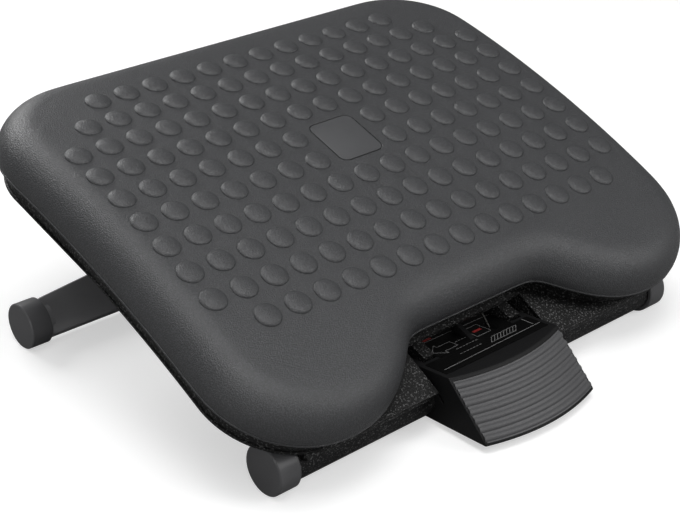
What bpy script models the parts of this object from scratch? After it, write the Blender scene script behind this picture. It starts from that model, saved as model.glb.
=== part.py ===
"""Adjustable footrest: a bumped platform that tilts on a front bar, a folding rear leg and a release pedal.

Metres, +Z up. X runs along the bars, the pedal faces -Y. The origin is on the floor, at the middle of the
footrest's footprint. The platform, its tray and the lock are drawn in the platform's own frame, whose origin is
the front bar's axis and whose Y axis rises with the platform.
"""
import math

import bmesh
import bpy
from mathutils import Matrix, Vector

MM = 0.001

# Clearances
GAP = 0.3 * MM                 # between pieces that touch
SLACK = 0.6 * MM               # between a pin and the slotted hole it works in

# Front bar and its caps
BAR_RADIUS = 14.5 * MM
BAR_WALL = 1.5 * MM
FRONT_SPAN = 370 * MM          # over the front caps
CAP_LENGTH = 16.5 * MM
CAP_RADIUS = 17.3 * MM
CAP_DISC = 4 * MM              # thickness of a cap's end
CAP_CHAMFER = 0.8 * MM
CAP_FLAT = 0.3 * MM            # height cut off below, where the cap stands
BAR_AXIS_Z = CAP_RADIUS - CAP_FLAT

# Platform: crown, plan outline and rolled edge
TILT = math.radians(18.6)
CROWN_RADIUS = 958.8 * MM
CROWN_Y = 165 * MM             # crest of the crown, in the platform's frame
CROWN_Z = 79.6 * MM
HALF_WIDTH = 214 * MM
FAR_EDGE = 159 * MM            # arc lengths from the crest
NEAR_EDGE = 197.3 * MM
NOTCH_EDGE = 151.5 * MM
NOTCH_HALF = 60 * MM           # where the notch's floor starts to curve
LOBE_IN = 73 * MM              # from the platform's side to where the near lobe is full
LOBE_HALF = HALF_WIDTH - LOBE_IN
NOTCH_EASE = 0.56              # below 1 the S-curve between them is steeper near the floor
CORNER_RADIUS = 70 * MM
ROLL = 26.5 * MM               # radius of the rolled edge
RIM_DROP = 28 * MM             # the rim's foot, below the skin
SHELL_WALL = 2.6 * MM

# Bumps
PITCH_X = 24 * MM
PITCH_Y = 24.74 * MM
BUMP_RADIUS = 9.3 * MM
BUMP_TOP_RADIUS = 5.4 * MM
BUMP_HEIGHT = 3 * MM
BUMP_SINK = 0.6 * MM           # how far a bump's foot reaches into the skin
BUMP_SIDES = 8
BUMP_ROWS = 10
BUMP_MARGIN = 20 * MM          # from the platform's side to the outer column's end
BUMP_COLUMNS = 2 * math.floor((HALF_WIDTH - BUMP_MARGIN) / PITCH_X)

# Badge plate
BADGE_HALF_X = 19 * MM
BADGE_HALF_Y = 20.5 * MM
BADGE_CORNER = 6 * MM
BADGE_THICK = 1 * MM
BADGE_GROOVE = 0.8 * MM

# Under tray
TRAY_INSET = 6 * MM
TRAY_DROP = 17 * MM            # below the shell's rim
TRAY_WALL = 2.5 * MM
TRAY_STEP = 0.7 * MM           # the wall stands this far inside the floor's edge
TRAY_LAP = 9 * MM              # height of the tray's wall inside the shell
CUT_HALF = 56 * MM             # the opening for the pedal
CUT_Y = 22 * MM                # its back edge, in front of the tray's wall
SADDLE_STEP_IN = 2 * MM        # from the pedal's opening to each saddle
SADDLE_CLEAR = 3 * MM          # from each saddle to the front cap
SADDLE_END = FRONT_SPAN / 2 - CAP_LENGTH - SADDLE_CLEAR
SADDLE_STEPS = 10
SADDLE_FRONT = math.radians(41.6)
SADDLE_BACK = math.radians(152)

# Screws
SCREW_RADIUS = 2 * MM
HEAD_RADIUS = 3.8 * MM
HEAD_HEIGHT = 2 * MM
BOSS_RADIUS = 5 * MM
BOSS_HEIGHT = 9 * MM
SCREW_BITE = 7 * MM
HOLE_SPARE = 1 * MM            # depth of a blind hole past its screw
COVER_SCREW_IN = 49 * MM       # from the platform's side
COVER_SCREW_X = HALF_WIDTH - COVER_SCREW_IN
COVER_SCREW_S = (-118 * MM, 8 * MM, 118 * MM)

# Bar clamps
CLAMP_X = 41 * MM
CLAMP_WIDTH = 10 * MM
CLAMP_WALL = 2 * MM
CLAMP_FLANGE = 34 * MM
CLAMP_PLATE = 3 * MM
CLAMP_FLANGE_Y = 40 * MM       # middle of the flange
CLAMP_SCREW_Y = 46 * MM        # middle of its screws, behind the tray's wall
CLAMP_LIP = 2 * MM             # the flange is wider than the ring on each side
CLAMP_SCREW_STEP = 7 * MM
CLAMP_WEB = 10 * MM            # how far the web runs under the flange
CLAMP_WEB_START = (10 * MM, 4.4 * MM)    # inside the ring

# Pedal, drawn in the upright frame on the bar's axis
PEDAL_HALF = 52.4 * MM
PEDAL_WALL = 3.2 * MM
PEDAL_CHEEK = 2.5 * MM
PEDAL_BOW = 9 * MM
PEDAL_TOP_FRONT = (-26 * MM, 24 * MM)
PEDAL_TOP_BACK = (33 * MM, 18.4 * MM)
PEDAL_BOTTOM = (-62.6 * MM, -11 * MM)
PEDAL_HEEL_Z = -14.1 * MM
PEDAL_HOOK_Y = 18.5 * MM
CLAMP_SLOT_START = 1.5 * MM    # the top panel has a slot, open behind, round each clamp's web
CLAMP_SLOT_SPACE = 1 * MM      # on each side of the web
LEG_SLOT_HALF = 2 * MM         # and a closed one for the spring's leg
LEG_SLOT_START = 0.5 * MM
LEG_SLOT_END = 13 * MM
PEDAL_SLOT = 2.2 * MM          # width of the flexing slot in each cheek
PEDAL_SLOT_LENGTH = 18 * MM
PEDAL_SLOT_CENTRE = (-16.2 * MM, 9.4 * MM)
PEDAL_SLOT_ANGLE = math.radians(42)
TREAD_THICK = 1.6 * MM
RIB_COUNT = 7
RIB_HEIGHT = 1.1 * MM
RIB_PROFILE = ((0.0, 0), (0.18, 0), (0.3, 1), (0.7, 1), (0.82, 0))    # shares of the pitch and the height
TREAD_MARGIN = 3 * MM
TREAD_SIDE = 1.6 * MM          # from the pedal's side to the tread
BOW_STEPS = 8
LABEL_THICK = 0.5 * MM
LABEL_HALF = 49 * MM
LABEL_FRONT = -21 * MM
LABEL_BACK = -1.5 * MM

# Rear leg hinge and leg, in the platform's frame
HINGE_Y = 171 * MM
HINGE_Z = 24 * MM
LEG_LENGTH = 125.3 * MM
REAR_CAP_RADIUS = 17 * MM
PIN_RADIUS = 4 * MM
TUBE_WALL = 2.7 * MM
ARM_X = 80 * MM
ARM_THICK = 6 * MM
ARM_END_RADIUS = 9 * MM
ARM_FOOT_WIDTH = 26 * MM
EAR_THICK = 3 * MM
EAR_RADIUS = 9.3 * MM
BUSH_WALL = 1.6 * MM
BUSH_FLANGE = 1.2 * MM
BRACKET_LENGTH = 40 * MM
BRACKET_WIDTH = 26 * MM
BRACKET_PLATE = 2.5 * MM
BRACKET_SCREW_STEP = 12 * MM
BRACKET_SCREW_X = 15.6 * MM    # from the ear to the plate's screws
CLIP_THICK = 1 * MM
CLIP_WIDTH = 2.2 * MM

# Foot beam, across the leg
FOOT_SPAN = 402 * MM
BEAM_THICK = 16 * MM
BEAM_BOTTOM = 14.5 * MM         # below the caps' axis, all along
BEAM_END_TOP = 14 * MM         # above the caps' axis
BEAM_MID_TOP = 21.5 * MM
BEAM_MID_X = 100 * MM
BEAM_WALL = 3 * MM
BEAM_EDGE = 1.5 * MM
BEAM_EDGE_ANGLE = math.radians(60)    # steeper edges are bevelled
STUB_RADIUS = 11 * MM

# Friction lock, in the platform's frame
DRUM_RADIUS = 20 * MM
DRUM_WIDTH = 12 * MM
BRAKE_Y = 141 * MM
BRAKE_Z = 45 * MM
BRAKE_HORN = 15 * MM
BRAKE_THICK = 5 * MM
BRAKE_HUB = 5 * MM
BRAKE_EAR_X = 9 * MM
BRAKE_PLATE = 2.5 * MM
BRAKE_SCREW_BACK = 10 * MM     # from the lever's pin to the bracket's screws
BRAKE_PIN_RADIUS = 2 * MM
SHOE_HALF = 7 * MM
SHOE_THICK = 5 * MM
SHOE_STEPS = 6
BRAKE_BAR = 5 * MM             # depth of the lever's arm over the shoe
SPRING_WIRE = 0.5 * MM         # radius of the wire
SPRING_RADIUS = 3 * MM
SPRING_TURNS = 6
COIL_STEPS = 10                # points in each turn of a spring

# Release rod and the pedal's crank, in the platform's frame
CRANK_Y = 47 * MM
CRANK_Z = 38 * MM
CRANK_THICK = 4 * MM
CRANK_END = 6.5 * MM
CRANK_WALL = 4.6 * MM
CRANK_FRONT = math.radians(130)
CRANK_RISE = math.radians(88)
CRANK_BACK = math.radians(40)
CRANK_WEB = 12 * MM
CRANK_WEB_BACK = -8 * MM       # the web's back end, over the bar
CRANK_LIFT = 0.8 * MM          # rise of the crank's flat under the tray
CRANK_SWING = 5 * MM           # from the slot's front edge to the crank, which swings towards it
SLOT_SPACE = 2 * MM            # round what moves through an opening in the tray
CRANK_TRAVEL = 4.7 * MM        # how far the rod's end slides down in the crank's slot
ROD_RADIUS = 1.6 * MM
ROD_X = 6.5 * MM
GUIDE_Y = 85 * MM
GUIDE_WIDTH = 9 * MM
GUIDE_THICK = 6 * MM

# Pedal spring round the bar
TORSION_WIRE = 0.8 * MM
TORSION_RADIUS = 16 * MM
TORSION_TURNS = 5
TORSION_PITCH = 2.6 * MM
TORSION_X = 9 * MM
TORSION_LEG = 21 * MM
TORSION_KNEE = 9 * MM
TORSION_REST_Y = 27 * MM
TORSION_FRONT = math.radians(84)
TORSION_BACK = math.radians(100)

# Facets
ROUND_SIDES = 24
SMALL_SIDES = 8
CORNER_STEPS = 6
CURVE_STEPS = 8
ROLL_STEPS = 4
BADGE_STEPS = 4
HOOK_STEPS = 4                 # in each bend of the rod
EYE_STEPS = 6
CRANK_STEPS = 8
SHARP_ANGLE = math.radians(35)    # steeper edges are shaded sharp
CROWN_STEP = PITCH_Y

TRAY_H = -(RIM_DROP + TRAY_DROP)   # height of the tray's underside over the skin
ROD_ANGLE = math.atan2(BRAKE_Z + BRAKE_HORN - CRANK_Z, BRAKE_Y - CRANK_Y)

parts = bpy.data.collections.new("adjustable_footrest")
cutters = bpy.data.collections.new("cutters")


def clear_scene():
    for item in list(bpy.data.objects):
        bpy.data.objects.remove(item, do_unlink=True)
    for collection in (parts, cutters):
        bpy.context.scene.collection.children.link(collection)


def material(name, colour, roughness, metallic=0.0):
    found = bpy.data.materials.get(name) or bpy.data.materials.new(name)
    found.use_nodes = True
    shader = found.node_tree.nodes["Principled BSDF"]
    shader.inputs["Base Color"].default_value = (*colour, 1.0)
    shader.inputs["Roughness"].default_value = roughness
    shader.inputs["Metallic"].default_value = metallic
    return found


def grey(level):
    return (level, level, level * 1.03)


# Frames

def frame(name, parent, location=(0, 0, 0), turn=0.0):
    """An empty that a moving body hangs from, turned about X."""
    empty = bpy.data.objects.new(name, None)
    parts.objects.link(empty)
    empty.parent = parent
    empty.location = location
    empty.rotation_euler = (turn, 0, 0)
    return empty


def build_frames():
    root = frame("footrest", None)
    axle = frame("front_bar_axis", root, (0, 0, BAR_AXIS_Z))
    platform = frame("platform_joint", axle, turn=TILT)
    pedal = frame("pedal_joint", axle)
    leg = frame("leg_joint", platform, (0, HINGE_Y, HINGE_Z), leg_turn())
    brake = frame("brake_joint", platform, (0, BRAKE_Y, BRAKE_Z))
    rod = frame("rod_joint", platform, (0, CRANK_Y, CRANK_Z), ROD_ANGLE)
    return {"root": root, "axle": axle, "platform": platform, "pedal": pedal,
            "leg": leg, "brake": brake, "rod": rod}


def leg_turn():
    """The leg's angle in the platform's frame when its foot stands on the floor."""
    hinge_height = BAR_AXIS_Z + HINGE_Y * math.sin(TILT) + HINGE_Z * math.cos(TILT)
    slope = math.asin((hinge_height - REAR_CAP_RADIUS) / LEG_LENGTH)
    return -slope - TILT


# Places on the crown

def crown(c, s, h):
    """The point of the platform's frame at c along X, s along the crown's arc and h above the skin."""
    angle = s / CROWN_RADIUS
    reach = CROWN_RADIUS + h
    return Vector((c, CROWN_Y + math.sin(angle) * reach, CROWN_Z + math.cos(angle) * reach - CROWN_RADIUS))


def crown_matrix(c, s, h):
    return Matrix.Translation(crown(c, s, h)) @ Matrix.Rotation(-s / CROWN_RADIUS, 4, "X")


def arc_at(y, h):
    """The arc length at which the surface h above the skin passes the platform's own y."""
    return CROWN_RADIUS * math.asin((y - CROWN_Y) / (CROWN_RADIUS + h))


def bend_to_crown(mesh):
    """Cut the flat mesh into strips across the arc, then lay it on the crown."""
    first = math.floor(-NEAR_EDGE / CROWN_STEP)
    last = math.ceil(FAR_EDGE / CROWN_STEP)
    for step in range(first, last + 1):
        everything = mesh.verts[:] + mesh.edges[:] + mesh.faces[:]
        bmesh.ops.bisect_plane(mesh, geom=everything, dist=1e-6, plane_co=(0, step * CROWN_STEP, 0),
                               plane_no=(0, 1, 0))
    for vert in mesh.verts:
        vert.co = crown(*vert.co)


# Making objects

def add_object(name, mesh, parent, look, matrix=None):
    """Turn a bmesh into a named part, with its faces pointing out and its round faces smooth."""
    bmesh.ops.remove_doubles(mesh, verts=mesh.verts, dist=1e-6)
    bmesh.ops.recalc_face_normals(mesh, faces=mesh.faces)
    data = bpy.data.meshes.new(name)
    mesh.to_mesh(data)
    mesh.free()
    data.shade_smooth()
    data.set_sharp_from_angle(angle=SHARP_ANGLE)
    item = bpy.data.objects.new(name, data)
    if look is None:
        cutters.objects.link(item)
        item.hide_render = True
        item.display_type = "WIRE"
    else:
        parts.objects.link(item)
        data.materials.append(look)
    item.parent = parent
    if matrix is not None:
        item.matrix_local = matrix
    return item


def boolean(item, tool, operation="DIFFERENCE"):
    cut = item.modifiers.new(tool.name, "BOOLEAN")
    cut.operation = operation
    cut.object = tool
    return cut


def box_into(mesh, low, high, matrix=Matrix()):
    made = bmesh.ops.create_cube(mesh, size=1.0)["verts"]
    low = Vector(low)
    high = Vector(high)
    bmesh.ops.transform(mesh, verts=made, matrix=matrix @ Matrix.Translation((low + high) / 2)
                        @ Matrix.Diagonal(((high - low).x, (high - low).y, (high - low).z, 1)))


def cylinder_into(mesh, radius, start, end, sides=ROUND_SIDES, top_radius=None, matrix=Matrix()):
    """A closed cylinder, or cone, from start to end."""
    start = Vector(start)
    end = Vector(end)
    along = end - start
    top = radius if top_radius is None else top_radius
    made = bmesh.ops.create_cone(mesh, cap_ends=True, segments=sides, radius1=radius, radius2=top,
                                 depth=along.length)["verts"]
    turn = Vector((0, 0, 1)).rotation_difference(along.normalized()).to_matrix().to_4x4()
    bmesh.ops.transform(mesh, verts=made, matrix=matrix @ Matrix.Translation((start + end) / 2) @ turn)


def plate_into(mesh, outline, low, high, to_point):
    """A plate with the given outline, from low to high; to_point gives the point of (a, b, level)."""
    bottom = mesh.faces.new([mesh.verts.new(to_point(a, b, low)) for a, b in outline])
    made = bmesh.ops.extrude_face_region(mesh, geom=[bottom])["geom"]
    moved = [item for item in made if isinstance(item, bmesh.types.BMVert)]
    shift = Vector(to_point(0, 0, high)) - Vector(to_point(0, 0, low))
    bmesh.ops.translate(mesh, verts=moved, vec=shift)


def side_point(y, z, x):
    """A plate that is drawn from the side has its outline in Y and Z, and its thickness along X."""
    return (x, y, z)


def flat_point(x, y, z):
    return (x, y, z)


def front_point(x, z, y):
    return (x, y, z)


def arc(centre, radius, start, end, steps):
    return [(centre[0] + radius * math.cos(start + (end - start) * step / steps),
             centre[1] + radius * math.sin(start + (end - start) * step / steps)) for step in range(steps + 1)]


def rounded_box(half_x, low_y, high_y, radius, steps=CORNER_STEPS):
    """A rounded rectangle's outline, from the near right corner, anticlockwise."""
    points = []
    corners = ((half_x, low_y, -90), (half_x, high_y, 0), (-half_x, high_y, 90), (-half_x, low_y, 180))
    for x, y, start in corners:
        centre = (x - math.copysign(radius, x), y + radius if y == low_y else y - radius)
        points += arc(centre, radius, math.radians(start), math.radians(start + 90), steps)
    return points


def notch_curve(c):
    """How far the near edge lies from the crest at c: the notch's floor, an S-curve, and the full lobe."""
    share = min(max((abs(c) - NOTCH_HALF) / (LOBE_HALF - NOTCH_HALF), 0), 1)
    ease = (1 - math.cos(math.pi * share ** NOTCH_EASE)) / 2
    return NOTCH_EDGE + (NEAR_EDGE - NOTCH_EDGE) * ease


def platform_outline(inset):
    """The shell's outline at its rim, drawn in by inset, anticlockwise from the notch's floor."""
    near = [(NOTCH_HALF + (LOBE_HALF - NOTCH_HALF) * step / CURVE_STEPS) for step in range(CURVE_STEPS + 1)]
    right_near = [(c, -notch_curve(c)) for c in near]
    corner = CORNER_RADIUS
    right = (arc((HALF_WIDTH - corner, -NEAR_EDGE + corner), corner, -math.pi / 2, 0, CORNER_STEPS)
             + arc((HALF_WIDTH - corner, FAR_EDGE - corner), corner, 0, math.pi / 2, CORNER_STEPS))
    half = right_near + right
    points = half + [(-x, y) for x, y in reversed(half)]
    return offset_outline(points, inset)


def offset_outline(points, inset):
    """Move each point of an anticlockwise outline inwards, along the mean of its edges' normals."""
    if inset == 0:
        return points
    moved = []
    for index, point in enumerate(points):
        before = Vector(point) - Vector(points[index - 1])
        after = Vector(points[(index + 1) % len(points)]) - Vector(point)
        normal_before = Vector((-before.y, before.x)).normalized()
        normal_after = Vector((-after.y, after.x)).normalized()
        mean = (normal_before + normal_after).normalized()
        moved.append(tuple(Vector(point) + mean * inset / mean.dot(normal_before)))
    return moved


def wire_into_mesh(name, points, radius, parent, look, matrix=None):
    """A round wire through the points, as a mesh with welded caps."""
    curve = bpy.data.curves.new(name, "CURVE")
    curve.dimensions = "3D"
    curve.bevel_depth = radius
    curve.bevel_resolution = 1
    curve.use_fill_caps = True
    spline = curve.splines.new("POLY")
    spline.points.add(len(points) - 1)
    for point, place in zip(spline.points, points):
        point.co = (*place, 1.0)
    guide = bpy.data.objects.new(name + "_curve", curve)
    parts.objects.link(guide)
    bpy.context.view_layer.update()
    data = bpy.data.meshes.new_from_object(guide.evaluated_get(bpy.context.evaluated_depsgraph_get()))
    mesh = bmesh.new()
    mesh.from_mesh(data)
    bpy.data.objects.remove(guide, do_unlink=True)
    return add_object(name, mesh, parent, look, matrix)


def least_gap(points, radius, skip):
    """The least clear distance between stretches of a wire that lie more than skip points apart."""
    best = math.inf
    for first in range(len(points)):
        for second in range(first + skip, len(points)):
            best = min(best, (Vector(points[first]) - Vector(points[second])).length)
    return best - 2 * radius


# Turned shapes and screws

def turn_into(mesh, profile, sides=ROUND_SIDES, matrix=Matrix()):
    """Spin a closed profile of (x, radius) points about X; its stretch along the axis is left out."""
    verts = [mesh.verts.new((x, 0, radius)) for x, radius in profile]
    edges = [mesh.edges.new((verts[index - 1], verts[index])) for index in range(len(verts))
             if profile[index - 1][1] or profile[index][1]]
    bmesh.ops.spin(mesh, geom=verts + edges, cent=(0, 0, 0), axis=(1, 0, 0), dvec=(0, 0, 0),
                   angle=2 * math.pi, steps=sides, use_merge=True)
    ring = set(verts)
    grow = True
    while grow:
        found = {edge.other_vert(vert) for vert in ring for edge in vert.link_edges} - ring
        ring |= found
        grow = bool(found)
    bmesh.ops.transform(mesh, verts=list(ring), matrix=matrix)


def tube_profile(outer, inner, start, end):
    return [(start, inner), (start, outer), (end, outer), (end, inner)]


UPRIGHT = Matrix.Rotation(-math.pi / 2, 4, "Y")    # lays the X axis along Z


def add_screw(name, frames, looks, place, seat, tip):
    """A screw from below: its head hangs under the seat and its shank ends at the tip."""
    mesh = bmesh.new()
    top = seat - GAP
    profile = [(top - HEAD_HEIGHT, 0.0), (top - HEAD_HEIGHT, HEAD_RADIUS), (top, HEAD_RADIUS),
               (top, SCREW_RADIUS), (tip, SCREW_RADIUS), (tip, 0.0)]
    turn_into(mesh, profile, SMALL_SIDES, UPRIGHT)
    add_object(name, mesh, frames["platform"], looks["steel"], place)


def hole_into(mesh, matrix, low, high, radius=SCREW_RADIUS + GAP):
    cylinder_into(mesh, radius, (0, 0, low), (0, 0, high), SMALL_SIDES, matrix=matrix)


# Front bar

def build_front_bar(frames, looks):
    mesh = bmesh.new()
    half = FRONT_SPAN / 2 - CAP_DISC - GAP
    turn_into(mesh, tube_profile(BAR_RADIUS, BAR_RADIUS - BAR_WALL, -half, half))
    add_object("front_bar", mesh, frames["axle"], looks["coated"])
    mesh = bmesh.new()
    box_into(mesh, (-FRONT_SPAN, -CAP_RADIUS, -2 * CAP_RADIUS), (FRONT_SPAN, CAP_RADIUS, -BAR_AXIS_Z))
    floor = add_object("floor_cut", mesh, frames["axle"], None)
    for side, name in ((-1, "front_cap_left"), (1, "front_cap_right")):
        cap = build_cap(name, frames["axle"], looks["cap"], side, FRONT_SPAN / 2, CAP_RADIUS,
                        BAR_RADIUS + GAP)
        boolean(cap, floor)


def build_cap(name, parent, look, side, end, radius, bore, y=0.0):
    """An end cap: a turned cup with chamfered rims, its bore open towards the middle."""
    inner = end - CAP_LENGTH
    profile = [(inner, bore), (inner, radius - CAP_CHAMFER), (inner + CAP_CHAMFER, radius),
               (end - CAP_CHAMFER, radius), (end, radius - CAP_CHAMFER), (end, 0.0),
               (end - CAP_DISC, 0.0), (end - CAP_DISC, bore)]
    mesh = bmesh.new()
    turn_into(mesh, [(side * x, distance) for x, distance in profile])
    return add_object(name, mesh, parent, look, Matrix.Translation((0, y, 0)))


# Platform shell and its badge plate

def build_platform_shell(frames, looks):
    mesh = bmesh.new()
    plate_into(mesh, platform_outline(0), -RIM_DROP, 0, flat_point)
    mesh.normal_update()
    floor = min(mesh.faces, key=lambda face: face.calc_center_median().z)
    rim = [edge for edge in mesh.edges if all(vert.co.z > -RIM_DROP / 2 for vert in edge.verts)]
    bmesh.ops.recalc_face_normals(mesh, faces=mesh.faces)
    bmesh.ops.bevel(mesh, geom=rim, offset=ROLL, offset_type="OFFSET", segments=ROLL_STEPS, profile=0.5,
                    affect="EDGES", clamp_overlap=False)
    bmesh.ops.delete(mesh, geom=[floor], context="FACES_ONLY")
    bend_to_crown(mesh)
    shell = add_object("platform_shell", mesh, frames["platform"], looks["shell"])
    wall = shell.modifiers.new("wall", "SOLIDIFY")
    wall.thickness = SHELL_WALL
    wall.offset = -1
    wall.use_even_offset = True
    boolean(shell, build_bumps(frames), "UNION")
    mesh = bmesh.new()
    for place in cover_screws():
        cylinder_into(mesh, BOSS_RADIUS, (0, 0, TRAY_H + TRAY_WALL + GAP), (0, 0, -SHELL_WALL / 2),
                      SMALL_SIDES,
                      matrix=place)
    boolean(shell, add_object("shell_bosses", mesh, frames["platform"], None), "UNION")
    boolean(shell, crown_plate("badge_pocket", frames, None, BADGE_GROOVE, -BADGE_THICK - GAP, BUMP_HEIGHT))
    mesh = bmesh.new()
    for place in cover_screws():
        hole_into(mesh, place, TRAY_H - TRAY_WALL, TRAY_H + TRAY_WALL + SCREW_BITE + HOLE_SPARE)
    holes = add_object("cover_screw_holes", mesh, frames["platform"], None)
    boolean(shell, holes)
    crown_plate("badge_plate", frames, looks["badge"], 0, -BADGE_THICK, 0)
    for number, place in enumerate(cover_screws(), 1):
        add_screw(f"cover_screw_{number}", frames, looks, place, TRAY_H, TRAY_H + TRAY_WALL + SCREW_BITE)
    return holes


def crown_plate(name, frames, look, grow, low, high):
    """The badge plate's rounded outline, grown all round, as a plate that follows the crown."""
    outline = rounded_box(BADGE_HALF_X + grow, -BADGE_HALF_Y - grow, BADGE_HALF_Y + grow, BADGE_CORNER + grow,
                          BADGE_STEPS)
    mesh = bmesh.new()
    plate_into(mesh, outline, low, high, flat_point)
    bend_to_crown(mesh)
    return add_object(name, mesh, frames["platform"], look)


def bump_places():
    """Lattice places that hold a bump: the end rows are shorter, and the middle four are the badge's."""
    for row in range(BUMP_ROWS):
        left_out = 2 if row == 0 else 1 if row in (1, BUMP_ROWS - 1) else 0
        for column in range(left_out, BUMP_COLUMNS - left_out):
            c = (column - (BUMP_COLUMNS - 1) / 2) * PITCH_X
            s = ((BUMP_ROWS - 1) / 2 - row) * PITCH_Y
            if abs(c) > PITCH_X or abs(s) > PITCH_Y:
                yield c, s


def build_bumps(frames):
    """Low cones with flat tops, sunk a little so that each meets the skin all round."""
    slope = (BUMP_RADIUS - BUMP_TOP_RADIUS) / BUMP_HEIGHT
    mesh = bmesh.new()
    for c, s in bump_places():
        cylinder_into(mesh, BUMP_RADIUS + slope * BUMP_SINK, (0, 0, -BUMP_SINK), (0, 0, BUMP_HEIGHT),
                      BUMP_SIDES,
                      top_radius=BUMP_TOP_RADIUS, matrix=crown_matrix(c, s, 0))
    return add_object("bump_cones", mesh, frames["platform"], None)


def cover_screws():
    for side in (-1, 1):
        for s in COVER_SCREW_S:
            yield crown_matrix(side * COVER_SCREW_X, s, 0)


# Under tray

def build_under_tray(frames, looks, cover_holes):
    low = -NEAR_EDGE + TRAY_INSET
    high = FAR_EDGE - TRAY_INSET
    outline = rounded_box(HALF_WIDTH - TRAY_INSET, low, high, CORNER_RADIUS - TRAY_INSET)
    mesh = bmesh.new()
    plate_into(mesh, outline, TRAY_H, TRAY_H + TRAY_WALL, flat_point)
    bend_to_crown(mesh)
    tray = add_object("under_tray", mesh, frames["platform"], looks["tray"])
    boolean(tray, build_tray_wall(frames), "UNION")
    mesh = bmesh.new()
    inner = BAR_RADIUS + GAP
    outer = crown(0, arc_at(0, TRAY_H), TRAY_H).z + TRAY_WALL / 2
    sector = (arc((0, 0), outer, math.pi - SADDLE_BACK, math.pi - SADDLE_FRONT, SADDLE_STEPS)
              + arc((0, 0), inner, math.pi - SADDLE_FRONT, math.pi - SADDLE_BACK, SADDLE_STEPS))
    for side in (-1, 1):
        ends = sorted((side * (CUT_HALF + SADDLE_STEP_IN), side * SADDLE_END))
        plate_into(mesh, sector, ends[0], ends[1], side_point)
    boolean(tray, add_object("bar_saddles", mesh, frames["platform"], None), "UNION")
    mesh = bmesh.new()
    for place, _ in tray_screws():
        top = TRAY_H + TRAY_WALL + BOSS_HEIGHT
        cylinder_into(mesh, BOSS_RADIUS, (0, 0, TRAY_H + TRAY_WALL / 2), (0, 0, top), SMALL_SIDES,
                      matrix=place)
    boolean(tray, add_object("tray_bosses", mesh, frames["platform"], None), "UNION")
    boolean(tray, cover_holes)
    mesh = bmesh.new()
    box_into(mesh, (-CUT_HALF, -NEAR_EDGE, -NEAR_EDGE), (CUT_HALF, CUT_Y, NEAR_EDGE))
    boolean(tray, add_object("pedal_cutaway", mesh, frames["platform"], None))
    mesh = bmesh.new()
    slot_half = CRANK_THICK / 2 + SLOT_SPACE
    front, back = crank_window()
    box_into(mesh, (-slot_half, front, 0), (slot_half, back, tray_top_at(back) + TRAY_WALL))
    boolean(tray, add_object("crank_slot", mesh, frames["platform"], None))
    mesh = bmesh.new()
    drum = DRUM_RADIUS + SLOT_SPACE
    drum_half = DRUM_WIDTH / 2 + SLOT_SPACE
    box_into(mesh, (-drum_half, HINGE_Y - drum, HINGE_Z), (drum_half, HINGE_Y + drum, HINGE_Z + drum))
    for place, _ in tray_screws():
        hole_into(mesh, place, TRAY_H - TRAY_WALL, TRAY_H + SCREW_BITE + HOLE_SPARE)
    for place in brake_screws():
        hole_into(mesh, place, TRAY_H - TRAY_WALL, TRAY_H + 2 * TRAY_WALL)
    boolean(tray, add_object("tray_openings", mesh, frames["platform"], None))


def crank_window():
    """Where the slot for the crank starts and ends: it lies behind the tray's wall."""
    wall = crown(0, -NOTCH_EDGE + TRAY_INSET + TRAY_STEP + TRAY_WALL, TRAY_H).y
    return wall + GAP, CRANK_Y + CRANK_END + SLOT_SPACE


def build_tray_wall(frames):
    """The tray's wall: the shell's outline drawn in, standing on the floor plate."""
    mesh = bmesh.new()
    plate_into(mesh, platform_outline(TRAY_INSET + TRAY_STEP), TRAY_H + TRAY_WALL / 2, TRAY_LAP - RIM_DROP,
               flat_point)
    mesh.normal_update()
    ends = [face for face in mesh.faces if abs(face.normal.z) > 0.5]
    bmesh.ops.delete(mesh, geom=ends, context="FACES_ONLY")
    bend_to_crown(mesh)
    wall = add_object("tray_wall", mesh, frames["platform"], None)
    solid = wall.modifiers.new("wall", "SOLIDIFY")
    solid.thickness = TRAY_WALL
    solid.offset = -1
    solid.use_even_offset = True
    return wall


def tray_screws():
    """Places of the screws that go up into the tray's bosses, with the level of each seat."""
    for side in (-1, 1):
        for step in (-1, 1):
            y = CLAMP_SCREW_Y + step * CLAMP_SCREW_STEP
            yield crown_matrix(side * CLAMP_X, arc_at(y, TRAY_H), 0), clamp_seat()
            y = HINGE_Y + step * BRACKET_SCREW_STEP
            x = side * (ear_start() + BRACKET_SCREW_X)
            yield crown_matrix(x, arc_at(y, TRAY_H), 0), bracket_top() - bracket_plate_skin() - BRACKET_PLATE


def clamp_seat():
    """The level of the clamps' undersides: a flat flange hangs below the crown by its own sag."""
    sag = CLAMP_FLANGE ** 2 / (8 * (CROWN_RADIUS + TRAY_H))
    return TRAY_H - GAP - sag - CLAMP_PLATE


def brake_screws():
    for side in (-1, 1):
        yield crown_matrix(side * BRAKE_EAR_X / 2, arc_at(BRAKE_Y - BRAKE_SCREW_BACK, TRAY_H), 0)


def brake_screw_tip():
    return TRAY_H + TRAY_WALL + 2 * GAP + BRAKE_PLATE


def build_screws(frames, looks):
    for number, (place, seat) in enumerate(tray_screws(), 1):
        add_screw(f"tray_screw_{number}", frames, looks, place, seat, TRAY_H + SCREW_BITE)
    for number, place in enumerate(brake_screws(), 1):
        add_screw(f"brake_screw_{number}", frames, looks, place, TRAY_H, brake_screw_tip())


# Bar clamps

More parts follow.
